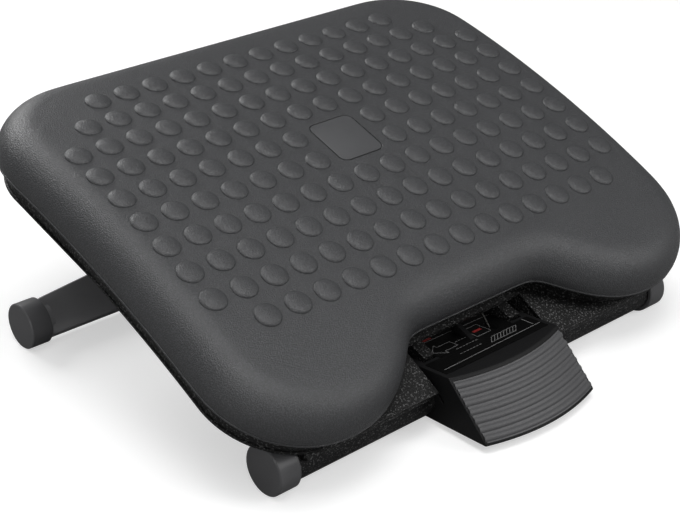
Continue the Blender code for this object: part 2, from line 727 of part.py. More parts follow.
def build_bar_clamps(frames, looks):
    for side, name in ((-1, "bar_clamp_left"), (1, "bar_clamp_right")):
        x = side * CLAMP_X
        low_x = x - CLAMP_WIDTH / 2
        high_x = x + CLAMP_WIDTH / 2
        outer = BAR_RADIUS + GAP + CLAMP_WALL
        mesh = bmesh.new()
        cylinder_into(mesh, outer, (low_x, 0, 0), (high_x, 0, 0))
        clamp = add_object(name, mesh, frames["platform"], looks["tray"])
        mesh = bmesh.new()
        start = CLAMP_FLANGE_Y - CLAMP_FLANGE / 2
        place = crown_matrix(x, arc_at(CLAMP_FLANGE_Y, TRAY_H), 0)
        wide = CLAMP_WIDTH / 2 + CLAMP_LIP
        seat = clamp_seat()
        box_into(mesh, (-wide, -CLAMP_FLANGE / 2, seat), (wide, CLAMP_FLANGE / 2, seat + CLAMP_PLATE), place)
        boolean(clamp, add_object(name + "_flange", mesh, frames["platform"], None), "UNION")
        mesh = bmesh.new()
        top = crown(0, arc_at(start, TRAY_H), clamp_seat()).z + CLAMP_PLATE / 2
        box_into(mesh, (low_x + GAP, *CLAMP_WEB_START), (high_x - GAP, start + CLAMP_WEB, top))
        boolean(clamp, add_object(name + "_web", mesh, frames["platform"], None), "UNION")
        mesh = bmesh.new()
        cylinder_into(mesh, BAR_RADIUS + GAP, (low_x - CLAMP_WIDTH, 0, 0), (high_x + CLAMP_WIDTH, 0, 0))
        for spot, level in tray_screws():
            if abs(spot.translation.x - x) < CLAMP_WIDTH:
                hole_into(mesh, spot, level - CLAMP_PLATE, TRAY_H)
        boolean(clamp, add_object(name + "_holes", mesh, frames["platform"], None))


# Rear leg hinge

def ear_start():
    return ARM_X + ARM_THICK / 2 + BUSH_FLANGE + 2 * GAP


def bracket_top():
    """The height of the bracket plates' upper faces: under the tray at the plate's far end."""
    far = HINGE_Y + BRACKET_LENGTH / 2
    return crown(0, arc_at(far, TRAY_H), TRAY_H).z - GAP


def bracket_plate_skin():
    """The height of the skin over the hinge, which a place on the crown counts its levels from."""
    return crown(0, arc_at(HINGE_Y, TRAY_H), 0).z


def build_leg_brackets(frames, looks):
    bore = PIN_RADIUS + GAP + BUSH_WALL + GAP
    top = bracket_top()
    for side, name in ((-1, "leg_bracket_left"), (1, "leg_bracket_right")):
        ear = sorted((side * ear_start(), side * (ear_start() + EAR_THICK)))
        plate = sorted((side * ear_start(), side * (ear_start() + BRACKET_WIDTH)))
        middle = top - BRACKET_PLATE / 2
        outline = (arc((HINGE_Y, HINGE_Z), EAR_RADIUS, math.pi, 2 * math.pi, SMALL_SIDES)
                   + [(HINGE_Y + EAR_RADIUS, middle), (HINGE_Y - EAR_RADIUS, middle)])
        mesh = bmesh.new()
        box_into(mesh, (plate[0], HINGE_Y - BRACKET_LENGTH / 2, top - BRACKET_PLATE),
                 (plate[1], HINGE_Y + BRACKET_LENGTH / 2, top))
        bracket = add_object(name, mesh, frames["platform"], looks["steel"])
        mesh = bmesh.new()
        plate_into(mesh, outline, ear[0], ear[1], side_point)
        boolean(bracket, add_object(name + "_ear", mesh, frames["platform"], None), "UNION")
        mesh = bmesh.new()
        cylinder_into(mesh, bore, (ear[0] - EAR_THICK, HINGE_Y, HINGE_Z),
                      (ear[1] + EAR_THICK, HINGE_Y, HINGE_Z))
        for spot, seat in tray_screws():
            if abs(spot.translation.x - side * (ear_start() + BRACKET_WIDTH / 2)) < BRACKET_WIDTH / 2:
                hole_into(mesh, spot, seat - BRACKET_PLATE, TRAY_H + TRAY_WALL)
        boolean(bracket, add_object(name + "_holes", mesh, frames["platform"], None))


def build_hinge_pin(frames, looks):
    centre = Matrix.Translation((0, HINGE_Y, HINGE_Z))
    ear_end = ear_start() + EAR_THICK
    pin_end = ear_end + GAP + CLIP_THICK + GAP + CLIP_THICK
    mesh = bmesh.new()
    cylinder_into(mesh, PIN_RADIUS, (-pin_end, 0, 0), (pin_end, 0, 0), SMALL_SIDES)
    add_object("hinge_pin", mesh, frames["platform"], looks["steel"], centre)
    inner = PIN_RADIUS + GAP
    outer = inner + BUSH_WALL
    start = ARM_X + ARM_THICK / 2 + GAP
    for side, word in ((-1, "left"), (1, "right")):
        mesh = bmesh.new()
        turn_into(mesh, tube_profile(inner + CLIP_WIDTH, inner, side * (ear_end + GAP),
                                     side * (ear_end + GAP + CLIP_THICK)), SMALL_SIDES)
        add_object(f"pin_clip_{word}", mesh, frames["platform"], looks["steel"], centre)
        profile = [(start, inner), (start, EAR_RADIUS - GAP), (start + BUSH_FLANGE, EAR_RADIUS - GAP),
                   (start + BUSH_FLANGE, outer), (ear_end, outer), (ear_end, inner)]
        mesh = bmesh.new()
        turn_into(mesh, [(side * x, radius) for x, radius in profile])
        add_object(f"pin_bush_{word}", mesh, frames["platform"], looks["nylon"], centre)


# Rear leg, drawn along Y from its hinge to its foot

def build_rear_leg(frames, looks):
    leg = frames["leg"]
    tube = PIN_RADIUS + GAP + TUBE_WALL
    end = ARM_X + ARM_THICK / 2
    mesh = bmesh.new()
    turn_into(mesh, tube_profile(tube, PIN_RADIUS + GAP, -end, end))
    add_object("leg_cross_tube", mesh, leg, looks["coated"])
    mesh = bmesh.new()
    turn_into(mesh, tube_profile(DRUM_RADIUS, tube + GAP, -DRUM_WIDTH / 2, DRUM_WIDTH / 2))
    add_object("lock_drum", mesh, leg, looks["steel"])
    mesh = bmesh.new()
    cylinder_into(mesh, tube + GAP, (-FOOT_SPAN, 0, 0), (FOOT_SPAN, 0, 0))
    bore = add_object("arm_bores", mesh, leg, None)
    foot = LEG_LENGTH - BEAM_THICK / 2 - GAP
    outline = (arc((0, 0), ARM_END_RADIUS, math.pi / 2, 3 * math.pi / 2, SMALL_SIDES)
               + [(foot, -ARM_FOOT_WIDTH / 2), (foot, ARM_FOOT_WIDTH / 2)])
    for side, name in ((-1, "leg_arm_left"), (1, "leg_arm_right")):
        mesh = bmesh.new()
        plate_into(mesh, outline, side * ARM_X - ARM_THICK / 2, side * ARM_X + ARM_THICK / 2, side_point)
        boolean(add_object(name, mesh, leg, looks["coated"]), bore)
    build_foot_beam(leg, looks)
    for side, name in ((-1, "rear_cap_left"), (1, "rear_cap_right")):
        build_cap(name, leg, looks["cap"], side, FOOT_SPAN / 2, REAR_CAP_RADIUS, STUB_RADIUS + GAP,
                  LEG_LENGTH)


def beam_outline(inset):
    """The beam from behind, drawn in by inset: straight below, rising to its middle above."""
    end = FOOT_SPAN / 2 - CAP_LENGTH - GAP - 2 * inset
    half = [(end, inset - BEAM_BOTTOM), (end, BEAM_END_TOP - inset), (BEAM_MID_X, BEAM_MID_TOP - inset)]
    return half + [(-x, z) for x, z in reversed(half)]


def build_foot_beam(leg, looks):
    mesh = bmesh.new()
    plate_into(mesh, beam_outline(0), LEG_LENGTH - BEAM_THICK / 2, LEG_LENGTH + BEAM_THICK / 2, front_point)
    beam = add_object("foot_beam", mesh, leg, looks["coated"])
    edges = beam.modifiers.new("edges", "BEVEL")
    edges.width = BEAM_EDGE
    edges.segments = 1
    edges.limit_method = "ANGLE"
    edges.angle_limit = BEAM_EDGE_ANGLE
    mesh = bmesh.new()
    plate_into(mesh, beam_outline(BEAM_WALL), LEG_LENGTH - BEAM_THICK / 2 + BEAM_WALL,
               LEG_LENGTH + BEAM_THICK,
               front_point)
    boolean(beam, add_object("beam_channel", mesh, leg, None))
    mesh = bmesh.new()
    start = FOOT_SPAN / 2 - CAP_LENGTH - 2 * BEAM_WALL
    end = FOOT_SPAN / 2 - CAP_DISC - GAP
    for side in (-1, 1):
        cylinder_into(mesh, STUB_RADIUS, (side * start, LEG_LENGTH, 0), (side * end, LEG_LENGTH, 0))
    boolean(beam, add_object("beam_stubs", mesh, leg, None), "UNION")


# Friction lock

def tray_top_at(y):
    return crown(0, arc_at(y, TRAY_H + TRAY_WALL), TRAY_H + TRAY_WALL).z


def build_brake(frames, looks):
    platform = frames["platform"]
    base = tray_top_at(BRAKE_Y) + GAP
    back = BRAKE_Y - BRAKE_SCREW_BACK - BRAKE_HUB
    front = BRAKE_Y + BRAKE_HUB
    ear_end = BRAKE_EAR_X + BRAKE_PLATE
    mesh = bmesh.new()
    box_into(mesh, (-ear_end, back, base), (ear_end, front, base + BRAKE_PLATE))
    bracket = add_object("brake_bracket", mesh, platform, looks["steel"])
    outline = (arc((BRAKE_Y, BRAKE_Z), BRAKE_HUB, 0, math.pi, SMALL_SIDES)
               + [(BRAKE_Y - BRAKE_HUB, base + BRAKE_PLATE / 2), (front, base + BRAKE_PLATE / 2)])
    mesh = bmesh.new()
    for side in (-1, 1):
        ear = sorted((side * BRAKE_EAR_X, side * (ear_end - GAP / 2)))
        plate_into(mesh, outline, ear[0], ear[1], side_point)
    boolean(bracket, add_object("brake_ears", mesh, platform, None), "UNION")
    mesh = bmesh.new()
    cylinder_into(mesh, BRAKE_PIN_RADIUS + GAP, (-2 * ear_end, BRAKE_Y, BRAKE_Z),
                  (2 * ear_end, BRAKE_Y, BRAKE_Z),
                  SMALL_SIDES)
    for place in brake_screws():
        hole_into(mesh, place, TRAY_H, brake_screw_tip() + HOLE_SPARE)
    boolean(bracket, add_object("brake_bracket_holes", mesh, platform, None))
    mesh = bmesh.new()
    cylinder_into(mesh, BRAKE_PIN_RADIUS, (-ear_end - BRAKE_PIN_RADIUS, 0, 0),
                  (ear_end + BRAKE_PIN_RADIUS, 0, 0),
                  SMALL_SIDES)
    add_object("brake_pin", mesh, platform, looks["steel"], Matrix.Translation((0, BRAKE_Y, BRAKE_Z)))
    build_brake_lever(frames["brake"], looks)


def build_brake_lever(brake, looks):
    """The lever on its pin: a horn for the rod, and an arm over the shoe. Its frame's origin is the pin."""
    drum_y = HINGE_Y - BRAKE_Y
    drum_z = HINGE_Z - BRAKE_Z
    shoe_top = drum_z + DRUM_RADIUS + GAP + SHOE_THICK
    arm_low = shoe_top + GAP
    arm_high = arm_low + BRAKE_BAR
    arm_end = drum_y + SHOE_HALF
    neck = BRAKE_HUB - GAP
    outline = ([(-neck, -neck / 2), (neck, -neck / 2), (2 * neck, arm_low), (arm_end, arm_low),
                (arm_end, arm_high),
                (BRAKE_HUB + neck / 2, arm_high)] + arc((0, BRAKE_HORN), neck, 0, math.pi, EYE_STEPS))
    mesh = bmesh.new()
    plate_into(mesh, outline, -BRAKE_THICK / 2, BRAKE_THICK / 2, side_point)
    lever = add_object("brake_lever", mesh, brake, looks["steel"])
    mesh = bmesh.new()
    hub_end = BRAKE_EAR_X - GAP
    cylinder_into(mesh, BRAKE_HUB, (-hub_end, 0, 0), (hub_end, 0, 0))
    boolean(lever, add_object("brake_hub", mesh, brake, None), "UNION")
    mesh = bmesh.new()
    cylinder_into(mesh, BRAKE_PIN_RADIUS + GAP, (-2 * hub_end, 0, 0), (2 * hub_end, 0, 0), SMALL_SIDES)
    cylinder_into(mesh, ROD_RADIUS + SLACK, (-BRAKE_THICK, 0, BRAKE_HORN), (BRAKE_THICK, 0, BRAKE_HORN),
                  SMALL_SIDES)
    boolean(lever, add_object("brake_lever_holes", mesh, brake, None))
    radius = DRUM_RADIUS + GAP
    spread = math.asin(SHOE_HALF / radius)
    outline = (arc((drum_y, drum_z), radius, math.pi / 2 + spread, math.pi / 2 - spread, SHOE_STEPS)
               + [(drum_y + SHOE_HALF, shoe_top), (drum_y - SHOE_HALF, shoe_top)])
    mesh = bmesh.new()
    plate_into(mesh, outline, -DRUM_WIDTH / 2, DRUM_WIDTH / 2, side_point)
    add_object("brake_shoe", mesh, brake, looks["rubber"])
    low = arm_high + GAP + SPRING_WIRE
    high = crown(0, arc_at(HINGE_Y, 0), -SHELL_WALL).z - BRAKE_Z - GAP - SPRING_WIRE - SPRING_WIRE / 2
    points = []
    total = SPRING_TURNS * COIL_STEPS
    for step in range(total + 1):
        angle = 2 * math.pi * step / COIL_STEPS
        points.append((SPRING_RADIUS * math.cos(angle), drum_y + SPRING_RADIUS * math.sin(angle),
                       low + (high - low) * step / total))
    wire_into_mesh("brake_spring", points, SPRING_WIRE, brake, looks["steel"])
    print("brake_spring least gap mm", round(least_gap(points, SPRING_WIRE, COIL_STEPS // 2) / MM, 2))


# Release rod

def build_release_rod(frames, looks):
    """A bent wire: its hooked ends pass through the pedal's crank and the brake lever's horn."""
    length = math.hypot(BRAKE_Y - CRANK_Y, BRAKE_Z + BRAKE_HORN - CRANK_Z)
    tip = -(BRAKE_THICK / 2 + ROD_RADIUS)
    bend = 2 * ROD_RADIUS
    near = arc((ROD_X - bend, bend), bend, -math.pi / 2, 0, HOOK_STEPS)
    far = arc((ROD_X - bend, length - bend), bend, 0, math.pi / 2, HOOK_STEPS)
    points = [(tip, 0, 0)] + [(x, y, 0) for x, y in near + far] + [(tip, length, 0)]
    wire_into_mesh("release_rod", points, ROD_RADIUS, frames["rod"], looks["steel"])
    along = GUIDE_Y - CRANK_Y
    height = CRANK_Z + along * math.tan(ROD_ANGLE)
    mesh = bmesh.new()
    foot = tray_top_at(GUIDE_Y) + GAP
    box_into(mesh, (ROD_X - GUIDE_WIDTH / 2, GUIDE_Y - GUIDE_THICK / 2, foot),
             (ROD_X + GUIDE_WIDTH / 2, GUIDE_Y + GUIDE_THICK / 2, height + GUIDE_WIDTH / 2))
    guide = add_object("rod_guide", mesh, frames["platform"], looks["nylon"])
    mesh = bmesh.new()
    cylinder_into(mesh, ROD_RADIUS + SLACK, (ROD_X, along - GUIDE_WIDTH, 0),
                  (ROD_X, along + 2 * GUIDE_WIDTH, 0),
                  SMALL_SIDES)
    boolean(guide, add_object("rod_guide_hole", mesh, frames["rod"], None))


# Pedal, in the upright frame on the bar's axis

def bow(x):
    """How far the pedal's face stands forward at x."""
    return PEDAL_BOW * (1 - (x / PEDAL_HALF) ** 2)


def bowed_plate(name, outline, half, parent, look, bowed):
    """A plate across X whose points in front, those for which bowed is true, follow the bow."""
    mesh = bmesh.new()
    plate_into(mesh, outline, -half, half, side_point)
    step = 2 * PEDAL_HALF / BOW_STEPS
    for index in range(1, BOW_STEPS):
        x = -PEDAL_HALF + index * step
        if abs(x) < half:
            everything = mesh.verts[:] + mesh.edges[:] + mesh.faces[:]
            bmesh.ops.bisect_plane(mesh, geom=everything, dist=1e-6, plane_co=(x, 0, 0), plane_no=(1, 0, 0))
    for vert in mesh.verts:
        if bowed(vert.co):
            vert.co.y -= bow(vert.co.x)
    return add_object(name, mesh, parent, look)


def face_frame():
    """The face's foot, its direction upwards and its outward normal, in Y and Z."""
    foot = Vector(PEDAL_BOTTOM)
    up = (Vector(PEDAL_TOP_FRONT) - foot).normalized()
    return foot, up, Vector((-up.y, up.x))


def tread_outline(grow):
    """The ribbed pad in its pocket: grown all round by a gap, the pocket has no ribs."""
    foot, up, out = face_frame()
    length = (Vector(PEDAL_TOP_FRONT) - foot).length
    start = TREAD_MARGIN
    end = length - TREAD_MARGIN
    pitch = (end - start) / RIB_COUNT
    if grow:
        path = [(start - grow, -TREAD_THICK - grow), (start - grow, 2 * RIB_HEIGHT),
                (end + grow, 2 * RIB_HEIGHT),
                (end + grow, -TREAD_THICK - grow)]
    else:
        path = [(start, -TREAD_THICK)]
        for rib in range(RIB_COUNT):
            low = start + rib * pitch
            path += [(low + pitch * share, rise * RIB_HEIGHT) for share, rise in RIB_PROFILE]
        path += [(end, 0.0), (end, -TREAD_THICK)]
    return [tuple(foot + up * along + out * level) for along, level in path]


def build_pedal(frames, looks):
    pedal = frames["pedal"]
    heel = (-math.sqrt((BAR_RADIUS + 1.5 * GAP) ** 2 - PEDAL_HEEL_Z ** 2), PEDAL_HEEL_Z)
    outline = [PEDAL_BOTTOM, heel, (PEDAL_HOOK_Y, 0), (PEDAL_HOOK_Y, PEDAL_TOP_BACK[1] / 2), PEDAL_TOP_BACK,
               PEDAL_TOP_FRONT]
    front_limit = PEDAL_TOP_FRONT[0] + PEDAL_WALL
    body = bowed_plate("pedal_body", outline, PEDAL_HALF, pedal, looks["pedal"],
                       lambda place: place.y < front_limit)
    boolean(body, build_pedal_cavity(pedal))
    build_crank(body, frames)
    mesh = bmesh.new()
    cylinder_into(mesh, BAR_RADIUS + GAP, (-2 * PEDAL_HALF, 0, 0), (2 * PEDAL_HALF, 0, 0), 2 * ROUND_SIDES)
    for side in (-1, 1):
        place = (Matrix.Translation((side * (PEDAL_HALF - PEDAL_CHEEK / 2), *PEDAL_SLOT_CENTRE))
                 @ Matrix.Rotation(PEDAL_SLOT_ANGLE, 4, "X"))
        box_into(mesh, (-PEDAL_CHEEK, -PEDAL_SLOT_LENGTH / 2, -PEDAL_SLOT / 2),
                 (PEDAL_CHEEK, PEDAL_SLOT_LENGTH / 2, PEDAL_SLOT / 2), place)
    boolean(body, add_object("pedal_bar_cut", mesh, pedal, None))
    pocket = bowed_plate("tread_pocket", tread_outline(GAP), PEDAL_HALF - TREAD_SIDE + GAP, pedal, None,
                         lambda place: True)
    boolean(body, pocket)
    bowed_plate("pedal_tread", tread_outline(0), PEDAL_HALF - TREAD_SIDE, pedal, looks["tread"],
                lambda place: True)
    mesh = bmesh.new()
    box_into(mesh, (-LABEL_HALF - GAP, LABEL_FRONT - GAP, -LABEL_THICK - GAP),
             (LABEL_HALF + GAP, LABEL_BACK + GAP, LABEL_THICK), panel_place())
    boolean(body, add_object("label_recess", mesh, pedal, None))
    mesh = bmesh.new()
    box_into(mesh, (-LABEL_HALF, LABEL_FRONT, -LABEL_THICK), (LABEL_HALF, LABEL_BACK, 0), panel_place())
    add_object("pedal_label", mesh, pedal, looks["label"])
    build_pedal_spring(frames, looks)


def panel_place():
    """A place on the top panel, under the bar axis's own y, with Z standing out of the panel."""
    front = Vector(PEDAL_TOP_FRONT)
    along = Vector(PEDAL_TOP_BACK) - front
    slope = math.atan2(along.y, along.x)
    level = front.y - front.x * math.tan(slope)
    return Matrix.Translation((0, 0, level)) @ Matrix.Rotation(slope, 4, "X")


def build_pedal_cavity(pedal):
    """The space inside the pedal, between its cheeks and open below and behind, with the panel's slots."""
    foot, up, out = face_frame()
    panel = (Vector(PEDAL_TOP_BACK) - Vector(PEDAL_TOP_FRONT)).normalized()
    inner_foot = foot - out * PEDAL_WALL
    inner_top = Vector(PEDAL_TOP_FRONT) + Vector((panel.y, -panel.x)) * PEDAL_WALL
    share = ((inner_top - inner_foot).x * panel.y - (inner_top - inner_foot).y * panel.x) / (
        up.x * panel.y - up.y * panel.x)
    corner = inner_foot + up * share
    below = inner_foot - up * PEDAL_HALF
    behind = corner + panel * 2 * PEDAL_HALF
    front_limit = corner.x + GAP
    cavity = bowed_plate("pedal_cavity", [tuple(below), (behind.x, below.y), tuple(behind), tuple(corner)],
                         PEDAL_HALF - PEDAL_CHEEK, pedal, None, lambda place: place.y < front_limit)
    mesh = bmesh.new()
    slot_half = CLAMP_WIDTH / 2 + CLAMP_SLOT_SPACE
    for x in (-CLAMP_X, CLAMP_X):
        box_into(mesh, (x - slot_half, CLAMP_SLOT_START, 0), (x + slot_half, PEDAL_HALF, PEDAL_HALF))
    leg = spring_leg_x()
    box_into(mesh, (leg - LEG_SLOT_HALF, LEG_SLOT_START, 0), (leg + LEG_SLOT_HALF, LEG_SLOT_END, PEDAL_HALF))
    boolean(cavity, add_object("panel_slots", mesh, pedal, None), "UNION")
    return cavity


def build_crank(body, frames):
    """The crank is part of the pedal's moulding: a web under the panel, round the bar, up to the rod's eye."""
    inner = BAR_RADIUS + GAP / 2
    outer = inner + CRANK_WALL
    eye = (CRANK_Y, CRANK_Z)
    heel = crank_window()[0] + CRANK_SWING
    outline = (arc((0, 0), outer, CRANK_FRONT, CRANK_RISE, EYE_STEPS)
               + [(heel, outer + CRANK_LIFT)]
               + arc(eye, CRANK_END, math.pi, 0, CRANK_STEPS)
               + [(CRANK_Y + CRANK_END, outer - CRANK_LIFT), (heel, outer - CRANK_WALL)]
               + arc((0, 0), inner, CRANK_BACK, CRANK_FRONT, CRANK_STEPS))
    mesh = bmesh.new()
    plate_into(mesh, outline, -CRANK_THICK / 2, CRANK_THICK / 2, side_point)
    boolean(body, add_object("crank_plate", mesh, frames["platform"], None), "UNION")
    mesh = bmesh.new()
    web = CRANK_THICK / 2 - GAP / 2
    box_into(mesh, (-web, PEDAL_TOP_FRONT[0] + PEDAL_WALL, -CRANK_WEB), (web, CRANK_WEB_BACK, -PEDAL_WALL / 2),
             panel_place())
    boolean(body, add_object("crank_web", mesh, frames["pedal"], None), "UNION")
    mesh = bmesh.new()
    radius = ROD_RADIUS + SLACK
    slot = (arc(eye, radius, 0, math.pi, EYE_STEPS)
            + arc((CRANK_Y, CRANK_Z - CRANK_TRAVEL), radius, math.pi, 2 * math.pi, EYE_STEPS))
    plate_into(mesh, slot, -CRANK_THICK, CRANK_THICK, side_point)
    boolean(body, add_object("crank_eye", mesh, frames["platform"], None))


def spring_leg_x():
    """Where the spring's long leg stands along the bar."""
    turns = TORSION_TURNS + (TORSION_FRONT - TORSION_BACK) / (2 * math.pi)
    return TORSION_X + TORSION_PITCH * turns


def build_pedal_spring(frames, looks):
    """A torsion spring on the bar: one leg under the tray, the other under the pedal's panel."""
    cos_tilt = math.cos(TILT)
    sin_tilt = math.sin(TILT)
    rest_y = TORSION_REST_Y
    rest_z = crown(0, arc_at(rest_y, TRAY_H), TRAY_H).z - GAP - TORSION_WIRE - GAP / 2
    tray_tip = (rest_y * cos_tilt - rest_z * sin_tilt, rest_y * sin_tilt + rest_z * cos_tilt)
    start = TORSION_BACK
    end = TORSION_FRONT + 2 * math.pi * TORSION_TURNS
    total = round((end - start) / (2 * math.pi) * COIL_STEPS)
    coil = []
    for step in range(total + 1):
        angle = start + (end - start) * step / total
        coil.append((TORSION_X + TORSION_PITCH * (end - start) / (2 * math.pi) * (1 - step / total),
                     TORSION_RADIUS * math.cos(angle), TORSION_RADIUS * math.sin(angle)))
    knee = (coil[0][0], coil[0][1] + TORSION_KNEE * math.sin(start), coil[0][2] - TORSION_KNEE * math.cos(start))
    last = coil[-1]
    front_tip = (last[0], last[1] - TORSION_LEG * math.sin(end), last[2] + TORSION_LEG * math.cos(end))
    points = [(knee[0], *tray_tip), knee] + coil + [front_tip]
    wire_into_mesh("pedal_spring", points, TORSION_WIRE, frames["pedal"], looks["steel"])
    print("pedal_spring least gap mm", round(least_gap(coil, TORSION_WIRE, COIL_STEPS // 2) / MM, 2))


def centre_footprint(root):
    """Move the whole model so that its footprint's middle is at the origin."""
    bpy.context.view_layer.update()
    graph = bpy.context.evaluated_depsgraph_get()
    ys = []
    for item in parts.objects:
        if item.type == "MESH":
            shape = item.evaluated_get(graph)
            ys += [(shape.matrix_world @ vert.co).y for vert in shape.data.vertices]
    root.location.y = -(min(ys) + max(ys)) / 2
    print("footprint moved by mm", round(root.location.y / MM, 3))


def main():
    clear_scene()
    looks = {
        "shell": material("moulded grey", grey(0.075), 0.55),
        "badge": material("badge grey", grey(0.095), 0.45),
        "tray": material("textured black", grey(0.012), 0.7),
        "coated": material("coated steel", grey(0.02), 0.6),
        "cap": material("cap black", grey(0.035), 0.35),
        "pedal": material("pedal black", grey(0.03), 0.5),
        "tread": material("tread grey", grey(0.07), 0.6),
        "label": material("label black", grey(0.02), 0.4),
        "steel": material("plain steel", grey(0.45), 0.35, 1.0),
        "nylon": material("white nylon", grey(0.6), 0.5),
        "rubber": material("brake rubber", grey(0.02), 0.8),
    }
    frames = build_frames()
    build_front_bar(frames, looks)
    holes = build_platform_shell(frames, looks)
    build_under_tray(frames, looks, holes)
    build_screws(frames, looks)
    build_bar_clamps(frames, looks)
    build_leg_brackets(frames, looks)
    build_hinge_pin(frames, looks)
    build_rear_leg(frames, looks)
    build_brake(frames, looks)
    build_release_rod(frames, looks)
    build_pedal(frames, looks)
    centre_footprint(frames["root"])


main()
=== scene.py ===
"""The looks of an adjustable footrest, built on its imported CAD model.

Each operator makes one piece, or a group of like pieces, in the CAD model's own place, and lets it ride
on the body that carries it. Metres, +Z up. The platform's pieces are drawn in the platform's frame, whose
origin is the front bar's axis, and are then tilted with it.
"""
from math import asin, atan2, ceil, copysign, cos, hypot, pi, radians, sin, sqrt, tan

import bmesh
import bpy
from bpy.props import FloatProperty, FloatVectorProperty, IntProperty, PointerProperty
from mathutils import Matrix, Vector


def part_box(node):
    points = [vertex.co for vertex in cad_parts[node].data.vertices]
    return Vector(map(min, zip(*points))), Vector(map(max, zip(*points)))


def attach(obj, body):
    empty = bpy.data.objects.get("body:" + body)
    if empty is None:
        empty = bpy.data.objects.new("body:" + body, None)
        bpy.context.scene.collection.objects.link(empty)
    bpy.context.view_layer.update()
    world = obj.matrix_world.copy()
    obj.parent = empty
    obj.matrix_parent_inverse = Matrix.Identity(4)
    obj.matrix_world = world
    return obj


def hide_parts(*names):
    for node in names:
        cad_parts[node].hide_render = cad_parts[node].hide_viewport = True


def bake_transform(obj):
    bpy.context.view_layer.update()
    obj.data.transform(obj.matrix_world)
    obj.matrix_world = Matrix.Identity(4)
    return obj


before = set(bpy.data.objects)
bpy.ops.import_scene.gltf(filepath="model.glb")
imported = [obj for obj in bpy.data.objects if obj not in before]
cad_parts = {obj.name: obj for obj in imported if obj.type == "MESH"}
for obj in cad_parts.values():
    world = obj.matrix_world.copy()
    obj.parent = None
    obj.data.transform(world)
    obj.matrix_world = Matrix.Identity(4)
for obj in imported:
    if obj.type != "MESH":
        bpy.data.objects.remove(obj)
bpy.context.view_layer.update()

bl_info = {
    "name": "Adjustable footrest",
    "version": (1, 0, 0),
    "blender": (4, 5, 0),
    "location": "View3D > Sidebar > Footrest",
    "description": "Builds the footrest's finished pieces on its CAD model",
    "category": "Object",
}

MM = 0.001
GAP = 0.3 * MM                 # between pieces that touch, as in the CAD model

# Frames: the front bar's axis, the tilted platform, and the leg on its hinge
AXIS = sum(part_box("front_bar"), Vector()) / 2
TILT = radians(18.6)
HINGE_Y = 171 * MM
HINGE_Z = 24 * MM
LEG_LENGTH = 125.3 * MM
REAR_CAP_RADIUS = 17 * MM
HINGE_HEIGHT = AXIS.z + HINGE_Y * sin(TILT) + HINGE_Z * cos(TILT)
LEG_TURN = -asin((HINGE_HEIGHT - REAR_CAP_RADIUS) / LEG_LENGTH) - TILT
UPRIGHT = Matrix.Translation(AXIS)
PLATFORM = UPRIGHT @ Matrix.Rotation(TILT, 4, "X")
LEG = PLATFORM @ Matrix.Translation((0, HINGE_Y, HINGE_Z)) @ Matrix.Rotation(LEG_TURN, 4, "X")

# Platform: crown, outline and rolled edge
CROWN_RADIUS = 958.8 * MM
CROWN_Y = 165 * MM
CROWN_Z = 79.6 * MM
HALF_WIDTH = 214 * MM
FAR_EDGE = 159 * MM
NEAR_EDGE = 197.3 * MM
NOTCH_EDGE = 151.5 * MM
NOTCH_HALF = 60 * MM
NOTCH_EASE = 0.56
LOBE_HALF = 141 * MM
CORNER_RADIUS = 70 * MM
ROLL = 26.5 * MM
RIM_DROP = 28 * MM
SHELL_WALL = 2.6 * MM
EDGE_POINTS = 480              # round the platform's outline
EDGE_PASSES = 12               # of smoothing, which rounds the notch's corners
ROLL_STEPS = 12
STRIP = 5 * MM                 # width of the strips that follow the crown

# The thin lip outside the rim: mm in from the edge and up from the rim
RIM_LIP = ((0.8, 0), (0.25, 0.1), (0, 0.45), (0, 1.1), (0.15, 1.4), (0.5, 1.55), (0.5, 1.8))

# Bumps and the badge plate
PITCH_X = 24 * MM
PITCH_Y = 24.74 * MM
BUMP_ROWS = 10
BUMP_COLUMNS = 16
END_ROW_HALF = 6               # bumps each side of the middle in the farthest row
NEXT_ROW_HALF = 7              # and in the row before it and the nearest row
BUMP_SINK = 0.4 * MM           # how far a bump's foot reaches into the skin
BUMP_SIDES = 28
BUMP_STEPS = 7                 # from a bump's foot to its top
BUMP_SHOULDER = 2.1            # powers of its section: full at the shoulder,
BUMP_FLANK = 0.55              # steep at the foot
BADGE_HALF_X = 19 * MM
BADGE_HALF_Y = 20.5 * MM
BADGE_CORNER = 6 * MM
BADGE_THICK = 1 * MM
BADGE_GROOVE = 0.8 * MM

# Under tray
TRAY_H = -45 * MM              # its underside, from the skin
TRAY_INSET = 6 * MM
TRAY_WALL = 2.5 * MM
TRAY_STEP = 0.7 * MM
TRAY_TOP = -19 * MM
CUT_HALF = 56 * MM
CUT_Y = 22 * MM
SADDLE_START = 58 * MM
SADDLE_END = 165.5 * MM
SADDLE_FRONT = radians(41.6)
SADDLE_BACK = radians(152)
SLOT_SPACE = 2 * MM
CRANK_THICK = 4 * MM
CRANK_Y = 47 * MM
CRANK_Z = 38 * MM
CRANK_END = 6.5 * MM

# The walls beside the pedal's opening: y of their upper edge, then (y, z) of their lower one, in mm
OPENING_TOP = (34, 22, 10, 0)
OPENING_FOOT = ((0, 16.5), (12, 13.5), (18, 5), (34, 5))

# Front bar, caps
BAR_RADIUS = 14.5 * MM
BAR_WALL = 1.5 * MM
FRONT_SPAN = 370 * MM
CAP_LENGTH = 16.5 * MM
CAP_RADIUS = 17.3 * MM
CAP_DISC = 4 * MM

